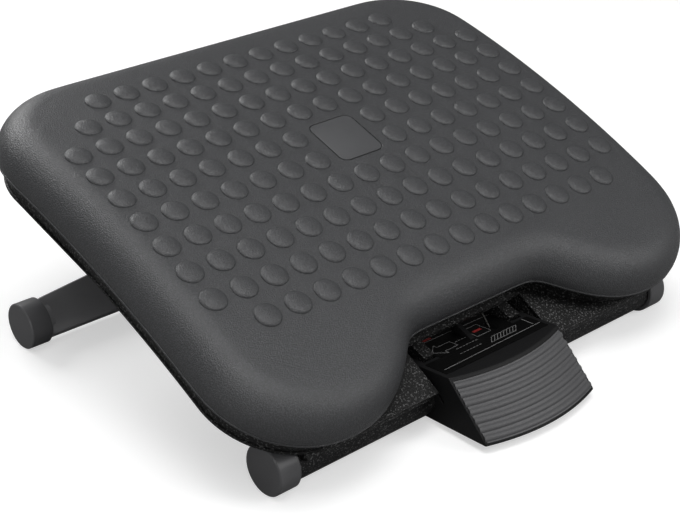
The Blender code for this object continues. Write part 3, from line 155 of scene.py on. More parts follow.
# Rear leg
FOOT_SPAN = 402 * MM
BEAM_THICK = 16 * MM
BEAM_BOTTOM = 14.5 * MM         # below the caps' axis
BEAM_END_TOP = 14 * MM
BEAM_MID_TOP = 21.5 * MM
BEAM_MID_X = 100 * MM
BEAM_WALL = 3 * MM
STUB_RADIUS = 11 * MM
PIN_RADIUS = 4 * MM
TUBE_WALL = 2.7 * MM
ARM_X = 80 * MM
ARM_THICK = 6 * MM
ARM_END_RADIUS = 9 * MM
ARM_FOOT_HALF = 13 * MM
DRUM_RADIUS = 20 * MM
DRUM_HALF = 6 * MM
EAR_THICK = 3 * MM
EAR_RADIUS = 9.3 * MM
BUSH_WALL = 1.6 * MM
BUSH_FLANGE = 1.2 * MM
CLIP_THICK = 1 * MM
CLIP_WIDTH = 2.2 * MM
EAR_START = ARM_X + ARM_THICK / 2 + BUSH_FLANGE + 2 * GAP

# Screws
HEAD_RADIUS = 3.8 * MM
HEAD_HEIGHT = 2 * MM
SCREW_RADIUS = 2 * MM
SHANK = 8 * MM
RECESS_WIDTH = 0.7 * MM
RECESS_LENGTH = 3.8 * MM
COVER_SCREW_X = 165 * MM
COVER_SCREW_S = (-118 * MM, 8 * MM, 118 * MM)
CLAMP_X = 41 * MM
CLAMP_FLANGE = 34 * MM
CLAMP_PLATE = 3 * MM
CLAMP_SCREW_Y = 46 * MM
CLAMP_SCREW_STEP = 7 * MM
BRACKET_LENGTH = 40 * MM
BRACKET_PLATE = 2.5 * MM
BRACKET_SCREW_STEP = 12 * MM
BRACKET_SCREW_X = 15.6 * MM
BRAKE_Y = 141 * MM
BRAKE_Z = 45 * MM
BRAKE_HORN = 15 * MM
BRAKE_THICK = 5 * MM
BRAKE_BAR = 5 * MM
BRAKE_SCREW_X = 4.5 * MM
BRAKE_SCREW_Y = 131 * MM
SHOE_THICK = 5 * MM

# Wires
ROD_RADIUS = 1.6 * MM
ROD_X = 6.5 * MM
ROD_ANGLE = atan2(BRAKE_Z + BRAKE_HORN - CRANK_Z, BRAKE_Y - CRANK_Y)
SPRING_WIRE = 0.5 * MM
SPRING_RADIUS = 3 * MM
SPRING_TURNS = 6
TORSION_WIRE = 0.8 * MM
TORSION_RADIUS = 16 * MM
TORSION_TURNS = 5
TORSION_PITCH = 2.6 * MM
TORSION_X = 9 * MM
TORSION_LEG = 21 * MM
TORSION_KNEE = 9 * MM
TORSION_REST_Y = 27 * MM
TORSION_FRONT = radians(84)
TORSION_BACK = radians(100)
COIL_STEPS = 24

# Pedal, in the upright frame
PEDAL_HALF = 52.4 * MM
PEDAL_WALL = 3.2 * MM
PEDAL_CHEEK = 2.5 * MM
PEDAL_BOW = 9 * MM
PEDAL_TOP_FRONT = Vector((-26, 24)) * MM
PEDAL_TOP_BACK = Vector((33, 18.4)) * MM
PEDAL_BOTTOM = Vector((-62.6, -11)) * MM
PEDAL_HEEL_Z = -14.1 * MM
PEDAL_HOOK_Y = 18.5 * MM
CLAMP_SLOT_START = 1.5 * MM
CLAMP_SLOT_HALF = 6 * MM
LEG_SLOT_HALF = 2 * MM
LEG_SLOT_START = 0.5 * MM
LEG_SLOT_END = 13 * MM
PEDAL_SLOT_HALF = 1.1 * MM
PEDAL_SLOT_LENGTH = 18 * MM
PEDAL_SLOT_CENTRE = (-16.2 * MM, 9.4 * MM)
PEDAL_SLOT_ANGLE = radians(42)
TREAD_THICK = 1.6 * MM
TREAD_MARGIN = 3 * MM
TREAD_SIDE = 1.6 * MM
RIB_SHARE = 0.46               # of the ribs' pitch, their radius
RIB_SIDES = 20
LABEL_THICK = 0.5 * MM
LABEL_HALF = 49 * MM
LABEL_FRONT = -21 * MM
LABEL_BACK = -1.5 * MM
LABEL_CORNER = 1 * MM
LABEL_RISE = 0.1 * MM          # the film's face, above the panel
BORDER_WIDTH = 0.5 * MM
LINE_WIDTH = 0.4 * MM
MARK_WIDTH = 2.4 * MM
PRINT_HEIGHT = 0.05 * MM
BOW_STEPS = 40
CRANK_WALL = 4.6 * MM
CRANK_FRONT = radians(130)
CRANK_RISE = radians(88)
CRANK_BACK = radians(40)
CRANK_LIFT = 0.8 * MM
CRANK_SWING = 5 * MM
CRANK_TRAVEL = 4.7 * MM
CRANK_EYE = 1.4                # its slot's half width, in radii of the rod
CRANK_WEB_DEPTH = 12 * MM      # below the panel
CRANK_WEB_BACK = -8 * MM

# The CAD pieces whose shapes stay, and the finish of each
FITTINGS = {
    "rod_guide": "nylon", "bar_clamp_left": "tray", "bar_clamp_right": "tray", "leg_bracket_left": "steel",
    "leg_bracket_right": "steel", "brake_bracket": "steel", "brake_pin": "steel", "brake_lever": "steel",
    "brake_shoe": "rubber",
}

# Facets
ROUND = 96
SMALL_ROUND = 32
FILLET_STEPS = 4
FILLET_REACH = 0.45            # of the shorter edge, the most that a rounded corner takes
STRAIGHT = radians(175)        # a flatter corner stays as it is
NOTCH_STEPS = 80
CORNER_STEPS = 24
SADDLE_STEPS = 40
EYE_STEPS = 16
SHARP_ANGLE = radians(40)

# The photograph's camera
FOCAL = 82.8                   # mm, on a 36 mm sensor
EYE = Vector((0, AXIS.y, 0)) + Vector((-675.2, -620.6, 565.4)) * MM
LOOK_AZIMUTH = radians(41.7)
LOOK_DOWN = radians(27.22)

# Light: each lamp's name, place, width, depth and power
LAMPS = (("above", (-0.3, -0.4, 2.0), 1.0, 1.0, 22), ("back", (-0.1, 1.6, 1.1), 0.9, 0.7, 17),
         ("front", (0.9, -1.3, 0.9), 0.8, 0.8, 10), ("left", (-1.5, -0.4, 0.4), 0.6, 0.4, 2),
         ("near", (-0.9, -1.2, 1.4), 1.0, 1.0, 6))
LAMP_TARGET = Vector((0, 0, 0.06))
WORLD_LIGHT = 0.12             # on the object; the camera sees the world at full strength
FLOOR_GLOW = 0.52              # added to the floor that the camera sees
FLOOR_BOUNCE = 0.4             # of the floor's colour, for the light it sends back
FLOOR_HALF = 6


# Node trees

class Value:
    """A node's output, whose sums, products and comparisons add Math nodes."""

    def __init__(self, tree, socket):
        self.tree = tree
        self.socket = socket

    def maths(self, operation, *others):
        return self.tree.maths(operation, self, *others)

    def __add__(self, other):
        return self.maths("ADD", other)

    def __sub__(self, other):
        return self.maths("SUBTRACT", other)

    def __rsub__(self, other):
        return self.tree.maths("SUBTRACT", other, self)

    def __mul__(self, other):
        return self.maths("MULTIPLY", other)

    def __truediv__(self, other):
        return self.maths("DIVIDE", other)

    def __gt__(self, other):
        return self.maths("GREATER_THAN", other)

    def __lt__(self, other):
        return self.maths("LESS_THAN", other)

    def __abs__(self):
        return self.maths("ABSOLUTE")

    __radd__ = __add__
    __rmul__ = __mul__


class Tree:
    """A node tree under construction."""

    def __init__(self, nodes_tree):
        self.tree = nodes_tree

    def node(self, kind, inputs=None, **settings):
        """Add a node: its settings first, then what feeds each of its sockets."""
        node = self.tree.nodes.new(kind)
        for key, value in settings.items():
            setattr(node, key, value)
        for key, value in (inputs or {}).items():
            self.feed(node.inputs[key], value)
        return node

    def feed(self, socket, value):
        """Link the socket to a Value or to a node's first output, or set it to a plain value."""
        if isinstance(value, bpy.types.Node):
            value = self.out(value)
        if isinstance(value, Value):
            self.tree.links.new(value.socket, socket)
        else:
            socket.default_value = value

    def out(self, node, key=0):
        return Value(self, node.outputs[key])

    def maths(self, operation, *values):
        return self.out(self.node("ShaderNodeMath", dict(enumerate(values)), operation=operation))


def geometry_tree(name, inputs):
    """A Geometry Nodes tree, and its inputs by name: a Geometry and the given ones, each of its kind."""
    group = bpy.data.node_groups.new(name, "GeometryNodeTree")
    for label, kind in (("Geometry", "Geometry"), *inputs.items()):
        group.interface.new_socket(label, in_out="INPUT", socket_type="NodeSocket" + kind)
    group.interface.new_socket("Geometry", in_out="OUTPUT", socket_type="NodeSocketGeometry")
    tree = Tree(group)
    given = tree.node("NodeGroupInput")
    return tree, {label: tree.out(given, label) for label in ("Geometry", *inputs)}


def finish_tree(tree, geometry, look):
    """End the tree in Realize Instances and Set Material."""
    real = tree.node("GeometryNodeRealizeInstances", {"Geometry": geometry})
    smooth = tree.node("GeometryNodeSetShadeSmooth", {"Geometry": real})
    painted = tree.node("GeometryNodeSetMaterial", {"Geometry": smooth, "Material": look})
    tree.node("NodeGroupOutput", {0: painted})


def new_object(name, mesh):
    """An object in the scene that holds the bmesh, which is freed."""
    data = bpy.data.meshes.new(name)
    mesh.to_mesh(data)
    mesh.free()
    item = bpy.data.objects.new(name, data)
    bpy.context.scene.collection.objects.link(item)
    return item


def grow(name, mesh, tree, values):
    """Run the tree on the mesh and return the plain result, as a bmesh."""
    item = new_object(name + "_seed", mesh)
    modifier = item.modifiers.new(name, "NODES")
    modifier.node_group = tree.tree
    for socket in tree.tree.interface.items_tree:
        if socket.in_out == "INPUT" and socket.name in values:
            modifier[socket.identifier] = values[socket.name]
    return evaluated(item)


def evaluated(item):
    """The object's mesh with its modifiers run, as a bmesh; the object is removed."""
    bpy.context.view_layer.update()
    data = bpy.data.meshes.new_from_object(item.evaluated_get(bpy.context.evaluated_depsgraph_get()))
    mesh = bmesh.new()
    mesh.from_mesh(data)
    bpy.data.objects.remove(item, do_unlink=True)
    bpy.data.meshes.remove(data)
    return mesh


# Finishes

def finish(name, colour, roughness, **extra):
    """A material with one Principled shader, its tree and its Object coordinates."""
    found = bpy.data.materials.new(name)
    found.use_nodes = True
    tree = Tree(found.node_tree)
    shader = found.node_tree.nodes["Principled BSDF"]
    shader.inputs["Base Color"].default_value = (*colour, 1)
    shader.inputs["Roughness"].default_value = roughness
    for key, value in extra.items():
        shader.inputs[key.replace("_", " ")].default_value = value
    place = tree.out(tree.node("ShaderNodeTexCoord"), "Object")
    return found, tree, shader, place


def noise(tree, place, size, detail=2.0, rough=0.5):
    """Noise whose blotches are about the given size across, from 0 to 1."""
    return tree.out(tree.node("ShaderNodeTexNoise",
                              {"Vector": place, "Scale": 1 / size, "Detail": detail, "Roughness": rough}))


def smooth_step(tree, value, low, high):
    return tree.out(tree.node("ShaderNodeMapRange", {"Value": value, "From Min": low, "From Max": high},
                              interpolation_type="SMOOTHSTEP"))


def colour_between(tree, factor, dark, light):
    """A mix of two colours: the Mix node's colour sockets are its inputs 6 and 7 and its output 2."""
    node = tree.node("ShaderNodeMix", {"Factor": factor, 6: (*dark, 1), 7: (*light, 1)}, data_type="RGBA")
    return tree.out(node, 2)


def scaled(colour, share):
    return tuple(min(1.0, channel * share) for channel in colour)


def texture(tree, shader, tone, roughness, height, strength, distance):
    """Give the shader a colour, a roughness and a bump that vary."""
    tree.feed(shader.inputs["Base Color"], tone)
    tree.feed(shader.inputs["Roughness"], roughness)
    bump = tree.node("ShaderNodeBump", {"Strength": strength, "Distance": distance, "Height": height})
    tree.feed(shader.inputs["Normal"], bump)


def grained(name, colour, roughness, grain, depth, painted_glints=0.25, mottle=0.12, gloss=0.5):
    """Moulded plastic or powder coat: a grain of pits with painted glints, its peaks lightened in the colour,
    over a slow random change of tone.
    """
    found, tree, shader, place = finish(name, colour, roughness, Specular_IOR_Level=gloss)
    fine = noise(tree, place, grain, 2.0, 0.6)
    slow = noise(tree, place, 60 * MM, 3.0)
    peaks = smooth_step(tree, fine, 0.42, 0.68)
    # Painted highlight: the grain's peaks are lightened up to 1.9 times in the colour, in place of glints of
    # light; the slow part is random tone.
    painted_glints_and_mottle = peaks * painted_glints + slow * mottle
    tone = colour_between(tree, painted_glints_and_mottle, scaled(colour, 0.82), scaled(colour, 1.9))
    texture(tree, shader, tone, roughness + (0.5 - fine) * 0.35 + (slow - 0.5) * 0.12, fine, 1.0, depth)
    return found


def coarse_with_painted_glints(name, colour, roughness, grain, depth, painted_glint_colour):
    """A coarse black texture whose highest grains are painted a lighter colour, a painted highlight in place of
    the light they would catch.
    """
    found, tree, shader, place = finish(name, colour, roughness, Specular_IOR_Level=0.3)
    fine = noise(tree, place, grain, 1.0)
    # Painted highlight: the highest grains take the painted glint colour.
    tone = colour_between(tree, smooth_step(tree, fine, 0.55, 0.72), colour, painted_glint_colour)
    texture(tree, shader, tone, roughness + (0.5 - fine) * 0.3, fine, 1.0, depth)
    return found


def smooth_plastic(name, colour, roughness, gloss=0.5):
    """Fine satin plastic or paint: a faint orange peel and handling marks."""
    found, tree, shader, place = finish(name, colour, roughness, Specular_IOR_Level=gloss)
    peel = noise(tree, place, 1.6 * MM, 2.0)
    slow = noise(tree, place, 25 * MM, 4.0, 0.6)
    tone = colour_between(tree, slow, scaled(colour, 0.9), scaled(colour, 1.15))
    marks = smooth_step(tree, noise(tree, place, 7 * MM, 5.0, 0.7), 0.55, 0.75)
    texture(tree, shader, tone, roughness + (slow - 0.5) * 0.16 + marks * 0.06, peel, 0.25, 0.05 * MM)
    return found


def bare_metal(name, colour, roughness):
    """Zinc-plated steel: cloudy plating, fine scratches along X and a worn, uneven gloss."""
    found, tree, shader, place = finish(name, colour, roughness, Metallic=1.0)
    clouds = noise(tree, place, 6 * MM, 4.0, 0.6)
    stretch = tree.node("ShaderNodeMapping", {"Vector": place, "Scale": (0.15, 1, 1)})
    scratches = noise(tree, stretch, 0.5 * MM, 3.0)
    tone = colour_between(tree, clouds, scaled(colour, 0.8), scaled(colour, 1.15))
    texture(tree, shader, tone, roughness + (clouds - 0.5) * 0.3, scratches, 0.3, 0.03 * MM)
    return found


LOOKS = {}


def build_finishes(colours):
    """Every finish of the footrest, by its short name."""
    LOOKS.update({
        # The sixth value given to each grained finish is its share of painted glints on the grain's peaks.
        "platform": grained("moulded grey plastic", colours.platform, 0.4, 0.9 * MM, 0.45 * MM, 0.5),
        "badge": smooth_plastic("badge satin", colours.badge, 0.42),
        "tray": coarse_with_painted_glints("coarse black plastic", colours.tray, 0.5, 1.3 * MM, 0.4 * MM, colours.painted_glint_colour),
        "bar": coarse_with_painted_glints("powder-coated steel", colours.bar, 0.45, 1.1 * MM, 0.3 * MM, colours.painted_glint_colour),
        "beam": smooth_plastic("satin black paint", colours.beam, 0.45),
        "cap": smooth_plastic("cap plastic", colours.cap, 0.4),
        "pedal": grained("pedal plastic", colours.pedal, 0.5, 0.6 * MM, 0.04 * MM, 0.12, 0.12, 0.2),
        "tread": grained("tread plastic", colours.tread, 0.5, 0.7 * MM, 0.08 * MM, 0.2),
        "label": smooth_plastic("label film", colours.label, 0.5, 0.08),
        "print": smooth_plastic("label print", colours.label_print, 0.5),
        "mark": smooth_plastic("label mark", colours.label_mark, 0.5),
        "steel": bare_metal("plated steel", colours.steel, 0.38),
        "spring": bare_metal("blackened spring steel", scaled(colours.steel, 0.1), 0.45),
        "nylon": grained("white nylon", colours.nylon, 0.45, 0.8 * MM, 0.03 * MM, 0.05),
        "rubber": grained("brake rubber", colours.rubber, 0.8, 0.8 * MM, 0.08 * MM, 0.2),
    })


# Mesh building

def face_out(mesh):
    """Merge the mesh's doubled points and turn its faces outwards."""
    bmesh.ops.remove_doubles(mesh, verts=mesh.verts, dist=1e-6)
    mesh.normal_update()
    bmesh.ops.recalc_face_normals(mesh, faces=mesh.faces)


def add_piece(name, mesh, look, body, nodes=(), matrix=Matrix(), bend=None):
    """Make the bmesh a piece in its final place, riding on its body and standing for its CAD nodes.

    A spring given a bend is baked in its place and rides on no body; the body and points that the bend names are
    not used.
    """
    face_out(mesh)
    mesh.transform(matrix)
    item = new_object(name, mesh)
    item.data.shade_smooth()
    item.data.set_sharp_from_angle(angle=SHARP_ANGLE)
    paint(item, look)
    if bend:
        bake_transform(item)
    else:
        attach(item, body)
    if nodes:
        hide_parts(*nodes)


def paint(item, look):
    item.data.materials.clear()
    item.data.materials.append(LOOKS[look])


def combine(mesh, *tools, operation="DIFFERENCE"):
    """The mesh with each tool in turn taken away or added, as a new bmesh."""
    for tool in tools:
        face_out(mesh)
        face_out(tool)
        item = new_object("shape", mesh)
        other = new_object("tool", tool)
        modifier = item.modifiers.new("shape", "BOOLEAN")
        modifier.operation = operation
        modifier.solver = "EXACT"
        modifier.object = other
        mesh = evaluated(item)
        bpy.data.objects.remove(other, do_unlink=True)
    return mesh


def join(meshes):
    """Several bmeshes as one."""
    whole = bmesh.new()
    for mesh in meshes:
        data = bpy.data.meshes.new("part")
        mesh.to_mesh(data)
        mesh.free()
        whole.from_mesh(data)
        bpy.data.meshes.remove(data)
    return whole


def box(low, high, matrix=Matrix()):
    mesh = bmesh.new()
    low = Vector(low)
    high = Vector(high)
    place = Matrix.Translation((low + high) / 2) @ Matrix.Diagonal((*(high - low), 1))
    bmesh.ops.create_cube(mesh, size=1.0, matrix=matrix @ place)
    return mesh


def cylinder(radius, start, end, sides=ROUND):
    mesh = bmesh.new()
    start = Vector(start)
    along = Vector(end) - start
    turn = Vector((0, 0, 1)).rotation_difference(along.normalized()).to_matrix().to_4x4()
    bmesh.ops.create_cone(mesh, cap_ends=True, segments=sides, radius1=radius, radius2=radius,
                          depth=along.length, matrix=Matrix.Translation(start + along / 2) @ turn)
    return mesh


def loft(rings, capped=True):
    """A skin through rings of points, closed at both ends."""
    mesh = bmesh.new()
    made = [[mesh.verts.new(point) for point in ring] for ring in rings]
    count = len(made[0])
    for lower, upper in zip(made, made[1:]):
        for index in range(count):
            after = (index + 1) % count
            mesh.faces.new((lower[index], lower[after], upper[after], upper[index]))
    if capped:
        mesh.faces.new(reversed(made[0]))
        mesh.faces.new(made[-1])
    return mesh


def arc(centre, radius, start, end, steps):
    return [(centre[0] + radius * cos(start + (end - start) * step / steps),
             centre[1] + radius * sin(start + (end - start) * step / steps)) for step in range(steps + 1)]


def fillet(points, radius, steps=FILLET_STEPS):
    """Round each corner of a closed outline; a point's third value is its own radius."""
    rounded = []
    for index, point in enumerate(points):
        here = Vector(point[:2])
        own = point[2] if len(point) > 2 else radius
        before = Vector(points[index - 1][:2]) - here
        after = Vector(points[(index + 1) % len(points)][:2]) - here
        reach = min(before.length, after.length) * FILLET_REACH
        angle = before.angle(after)
        if own <= 0 or angle > STRAIGHT:
            rounded.append(tuple(here))
            continue
        cut = min(own / tan(angle / 2), reach)
        start = here + before.normalized() * cut
        end = here + after.normalized() * cut
        for step in range(steps + 1):
            share = step / steps
            first = start.lerp(here, share)
            second = here.lerp(end, share)
            rounded.append(tuple(first.lerp(second, share)))
    return rounded


def offset(points, inset):
    """Move the points of an anticlockwise outline inwards, along the mean of their edges' normals."""
    moved = []
    for index, point in enumerate(points):
        before = Vector(point) - Vector(points[index - 1])
        after = Vector(points[(index + 1) % len(points)]) - Vector(point)
        normal = Vector((-before.y, before.x)).normalized()
        mean = (normal + Vector((-after.y, after.x)).normalized()).normalized()
        moved.append(tuple(Vector(point) + mean * inset / max(mean.dot(normal), 0.5)))
    return moved


def rounding(edge, steps=3):
    """Pairs of (inset, rise) round an edge, from its face to its side."""
    pairs = []
    for step in range(steps + 1):
        angle = pi / 2 * step / steps
        pairs.append((edge * (1 - sin(angle)), edge * (1 - cos(angle))))
    return pairs


def plate(outline, low, high, to_point, edge=0.4 * MM):
    """A plate with rounded edges; to_point gives the point of (a, b, level)."""
    if sum(a[0] * b[1] - b[0] * a[1] for a, b in zip(outline, outline[1:] + outline[:1])) < 0:
        outline = outline[::-1]
    rings = []
    for inset, rise in rounding(edge):
        rings.append([to_point(a, b, low + rise) for a, b in offset(outline, inset)])
    for inset, rise in reversed(rounding(edge)):
        rings.append([to_point(a, b, high - rise) for a, b in offset(outline, inset)])
    return loft(rings)


def side_point(y, z, x):
    return (x, y, z)


def flat_point(x, y, z):
    return (x, y, z)


def front_point(x, z, y):
    return (x, y, z)


def turned(profile, sides=ROUND):
    """Spin a closed profile of (x, radius) points about X."""
    mesh = bmesh.new()
    verts = [mesh.verts.new((x, 0, radius)) for x, radius in profile]
    edges = [mesh.edges.new((verts[index - 1], verts[index])) for index in range(len(verts))
             if profile[index - 1][1] > 0 or profile[index][1] > 0]
    bmesh.ops.spin(mesh, geom=verts + edges, cent=(0, 0, 0), axis=(1, 0, 0), dvec=(0, 0, 0),
                   angle=2 * pi, steps=sides, use_merge=True)
    bmesh.ops.remove_doubles(mesh, verts=mesh.verts, dist=1e-6)
    return mesh


def tube(outer, inner, start, end, edge=0.4 * MM, sides=ROUND):
    return turned(fillet([(start, inner), (start, outer), (end, outer), (end, inner)], edge), sides)


def swept(tree, given, sides):
    """A round skin of the given Radius along the given Geometry's path."""
    path = tree.node("GeometryNodeMeshToCurve", {"Mesh": given["Geometry"]})
    ring = tree.node("GeometryNodeCurvePrimitiveCircle", {"Resolution": sides, "Radius": given["Radius"]})
    return tree.node("GeometryNodeCurveToMesh", {"Curve": path, "Profile Curve": ring, "Fill Caps": True})


def path_mesh(points):
    """A path as a bmesh of edges."""
    mesh = bmesh.new()
    verts = [mesh.verts.new(point) for point in points]
    for first, second in zip(verts, verts[1:]):
        mesh.edges.new((first, second))
    return mesh


def wire(name, points, radius, look, sides=12):
    """A round wire along a path, made by Geometry Nodes."""
    tree, given = geometry_tree(name + " along its path",
                                {"Radius": "Float", "Sides": "Int", "Finish": "Material"})
    finish_tree(tree, swept(tree, given, given["Sides"]), given["Finish"])
    return grow(name, path_mesh(points), tree, {"Radius": radius, "Sides": sides, "Finish": LOOKS[look]})


# The crown

def crown(c, s, h):
    angle = s / CROWN_RADIUS
    reach = CROWN_RADIUS + h
    return Vector((c, CROWN_Y + sin(angle) * reach, CROWN_Z + cos(angle) * reach - CROWN_RADIUS))


def crown_matrix(c, s, h):
    return Matrix.Translation(crown(c, s, h)) @ Matrix.Rotation(-s / CROWN_RADIUS, 4, "X")


def arc_at(y, h):
    return CROWN_RADIUS * asin((y - CROWN_Y) / (CROWN_RADIUS + h))


def lay_on_crown(mesh):
    """Cut the flat mesh into strips across the arc, then bend it to the crown."""
    for step in range(-ceil(NEAR_EDGE / STRIP), ceil(FAR_EDGE / STRIP) + 1):
        faces = [face for face in mesh.faces if face.calc_area() > STRIP * STRIP]
        edges = {edge for face in faces for edge in face.edges}
        verts = {vert for edge in edges for vert in edge.verts}
        bmesh.ops.bisect_plane(mesh, geom=list(verts) + list(edges) + faces, dist=1e-7,
                               plane_co=(0, step * STRIP, 0), plane_no=(0, 1, 0))
    for vert in mesh.verts:
        vert.co = crown(*vert.co)


def notch_curve(c):
    share = min(max((abs(c) - NOTCH_HALF) / (LOBE_HALF - NOTCH_HALF), 0), 1)
    return NOTCH_EDGE + (NEAR_EDGE - NOTCH_EDGE) * (1 - cos(pi * share ** NOTCH_EASE)) / 2


def platform_edge():
    """The shell's outline at its rim, anticlockwise and evenly spaced, with the notch's corners eased."""
    corner = CORNER_RADIUS
    stations = [LOBE_HALF * step / NOTCH_STEPS for step in range(NOTCH_STEPS + 1)]
    half = [(x, -notch_curve(x)) for x in stations]
    half += arc((HALF_WIDTH - corner, corner - NEAR_EDGE), corner, -pi / 2, 0, CORNER_STEPS)
    half += arc((HALF_WIDTH - corner, FAR_EDGE - corner), corner, 0, pi / 2, CORNER_STEPS)
    points = [Vector(point) for point in evenly(half + [(-x, y) for x, y in reversed(half)], EDGE_POINTS)]
    for _ in range(EDGE_PASSES):
        points = [(before + 2 * point + after) / 4
                  for before, point, after in zip(points[-1:] + points, points, points[1:] + points[:1])]
    return [tuple(point) for point in points]


def evenly(points, count):
    """A closed outline as the given number of evenly spaced points."""
    spots = [Vector(point) for point in points]
    spots.append(spots[0])
    lengths = [0.0]
    for first, second in zip(spots, spots[1:]):
        lengths.append(lengths[-1] + (second - first).length)
    made = []
    index = 0
    for step in range(count):
        target = lengths[-1] * step / count
        while lengths[index + 1] < target:
            index += 1
        span = lengths[index + 1] - lengths[index]
        share = (target - lengths[index]) / span if span else 0.0
        made.append(tuple(spots[index].lerp(spots[index + 1], share)))
    return made


def rounded_box(half_x, low_y, high_y, radius, steps=12):
    points = []
    corners = ((half_x, low_y, -90), (half_x, high_y, 0), (-half_x, high_y, 90), (-half_x, low_y, 180))
    for x, y, start in corners:
        centre = (x - copysign(radius, x), y + radius if y == low_y else y - radius)
        points += arc(centre, radius, radians(start), radians(start + 90), steps)
    return points


def badge_outline(grow_by):
    return rounded_box(BADGE_HALF_X + grow_by, -BADGE_HALF_Y - grow_by, BADGE_HALF_Y + grow_by,
                       BADGE_CORNER + grow_by, 8)


# Pieces

def roll(radius, base, steps):
    """Pairs of (inset, level) round the shell's rolled edge."""
    angles = [pi / 2 * step / ROLL_STEPS for step in steps]
    return [(base + radius * (1 - cos(angle)), -base - radius * (1 - sin(angle))) for angle in angles]


def build_cover():
    """The platform's shell: crowned skin, rolled edge, a thin lip at the rim, and the badge's pocket."""
    edge = platform_edge()
    profile = roll(ROLL - SHELL_WALL, SHELL_WALL, range(ROLL_STEPS, -1, -1))
    profile += [(SHELL_WALL, GAP - RIM_DROP), (SHELL_WALL - GAP, -RIM_DROP)]
    profile += [(inset * MM, rise * MM - RIM_DROP) for inset, rise in RIM_LIP]
    profile += roll(ROLL, 0, range(1, ROLL_STEPS + 1))
    mesh = loft([[(x, y, level) for x, y in offset_far(edge, inset)] for inset, level in profile], capped=False)
    mesh.verts.ensure_lookup_table()
    count = len(edge)
    bottom = mesh.verts[:count]
    top = mesh.verts[-count:]
    mesh.faces.new(reversed(bottom))
    grown = badge_outline(BADGE_GROOVE)
    levels = ((0.25 * MM, 0), (0.0, -0.25 * MM), (0.0, -BADGE_THICK - GAP))
    pocket = [[mesh.verts.new((x, y, level)) for x, y in offset(grown, -spread)] for spread, level in levels]
    for upper, lower in zip(pocket, pocket[1:]):
        for index in range(len(grown)):
            after = (index + 1) % len(grown)
            mesh.faces.new((upper[index], upper[after], lower[after], lower[index]))
    mesh.faces.new(pocket[-1])
    rims = [mesh.edges.get((ring[index - 1], ring[index])) or mesh.edges.new((ring[index - 1], ring[index]))
            for ring in (top, pocket[0]) for index in range(len(ring))]
    bmesh.ops.triangle_fill(mesh, use_beauty=True, edges=rims)
    lay_on_crown(mesh)
    add_piece("platform_cover", mesh, "platform", "platform", ["platform_shell"], PLATFORM)


def offset_far(points, inset):
    """Move each point of the smooth outline inwards by its own normal."""
    moved = []
    for index, point in enumerate(points):
        along = Vector(points[(index + 1) % len(points)]) - Vector(points[index - 1])
        moved.append(tuple(Vector(point) + Vector((-along.y, along.x)).normalized() * inset))
    return moved


def dome_mesh(radius, height):
    """One bump, full at its shoulder and steep at its foot."""
    profile = [(radius, -BUMP_SINK)]
    for step in range(BUMP_STEPS):
        share = cos(pi / 2 * step / BUMP_STEPS)
        profile.append((radius * share, height * (1 - share ** BUMP_SHOULDER) ** BUMP_FLANK))
    turns = [2 * pi * side / BUMP_SIDES for side in range(BUMP_SIDES)]
    dome = loft([[(reach * cos(turn), reach * sin(turn), rise) for turn in turns] for reach, rise in profile],
                capped=False)
    dome.verts.ensure_lookup_table()
    foot = dome.verts[:BUMP_SIDES]
    ring = dome.verts[-BUMP_SIDES:]
    top = dome.verts.new((0, 0, height))
    for side in range(BUMP_SIDES):
        dome.faces.new((ring[side - 1], ring[side], top))
    dome.faces.new(reversed(foot))
    return dome


def build_bumps(radius, height):
    """The low domes, laid over the crown by Geometry Nodes."""
    tree, given = geometry_tree("bumps over the crown", {
        "Pitch across": "Float", "Pitch along": "Float", "Crown radius": "Float", "Finish": "Material"})
    pitch_x = given["Pitch across"]
    pitch_y = given["Pitch along"]
    bend = given["Crown radius"]
    grid = tree.node("GeometryNodeMeshGrid", {
        "Size X": pitch_x * (BUMP_COLUMNS - 1), "Size Y": pitch_y * (BUMP_ROWS - 1),
        "Vertices X": BUMP_COLUMNS, "Vertices Y": BUMP_ROWS})
    place = tree.node("ShaderNodeSeparateXYZ", {0: tree.node("GeometryNodeInputPosition")})
    column = abs(tree.out(place, "X") / pitch_x)
    row = tree.out(place, "Y") / pitch_y
    last = BUMP_ROWS / 2 - 1
    end_row = (column > END_ROW_HALF) * (row > last)
    next_rows = (column > NEXT_ROW_HALF) * ((row > last - 1) + (row < -last))
    badge = (column < 1) * (abs(row) < 1)
    kept = tree.node("GeometryNodeDeleteGeometry",
                     {"Geometry": grid, "Selection": end_row + next_rows + badge > 0.5}, domain="POINT")
    angle = tree.out(place, "Y") / bend
    held = tree.node("GeometryNodeStoreNamedAttribute", {"Geometry": kept, "Name": "turn", "Value": angle},
                     data_type="FLOAT", domain="POINT")
    spot = tree.node("ShaderNodeCombineXYZ", {
        "X": tree.out(place, "X"), "Y": angle.maths("SINE") * bend + CROWN_Y,
        "Z": (angle.maths("COSINE") - 1) * bend + CROWN_Z})
    bent = tree.node("GeometryNodeSetPosition", {"Geometry": held, "Position": spot})
    turn = tree.node("GeometryNodeInputNamedAttribute", {"Name": "turn"}, data_type="FLOAT")
    lean = tree.node("ShaderNodeCombineXYZ", {"X": 0 - tree.out(turn)})
    spread = tree.node("GeometryNodeInstanceOnPoints",
                       {"Points": bent, "Instance": given["Geometry"], "Rotation": lean})
    finish_tree(tree, spread, given["Finish"])
    mesh = grow("platform_bumps", dome_mesh(radius, height), tree, {
        "Pitch across": PITCH_X, "Pitch along": PITCH_Y, "Crown radius": CROWN_RADIUS,
        "Finish": LOOKS["platform"]})
    add_piece("platform_bumps", mesh, "platform", "platform", (), PLATFORM)


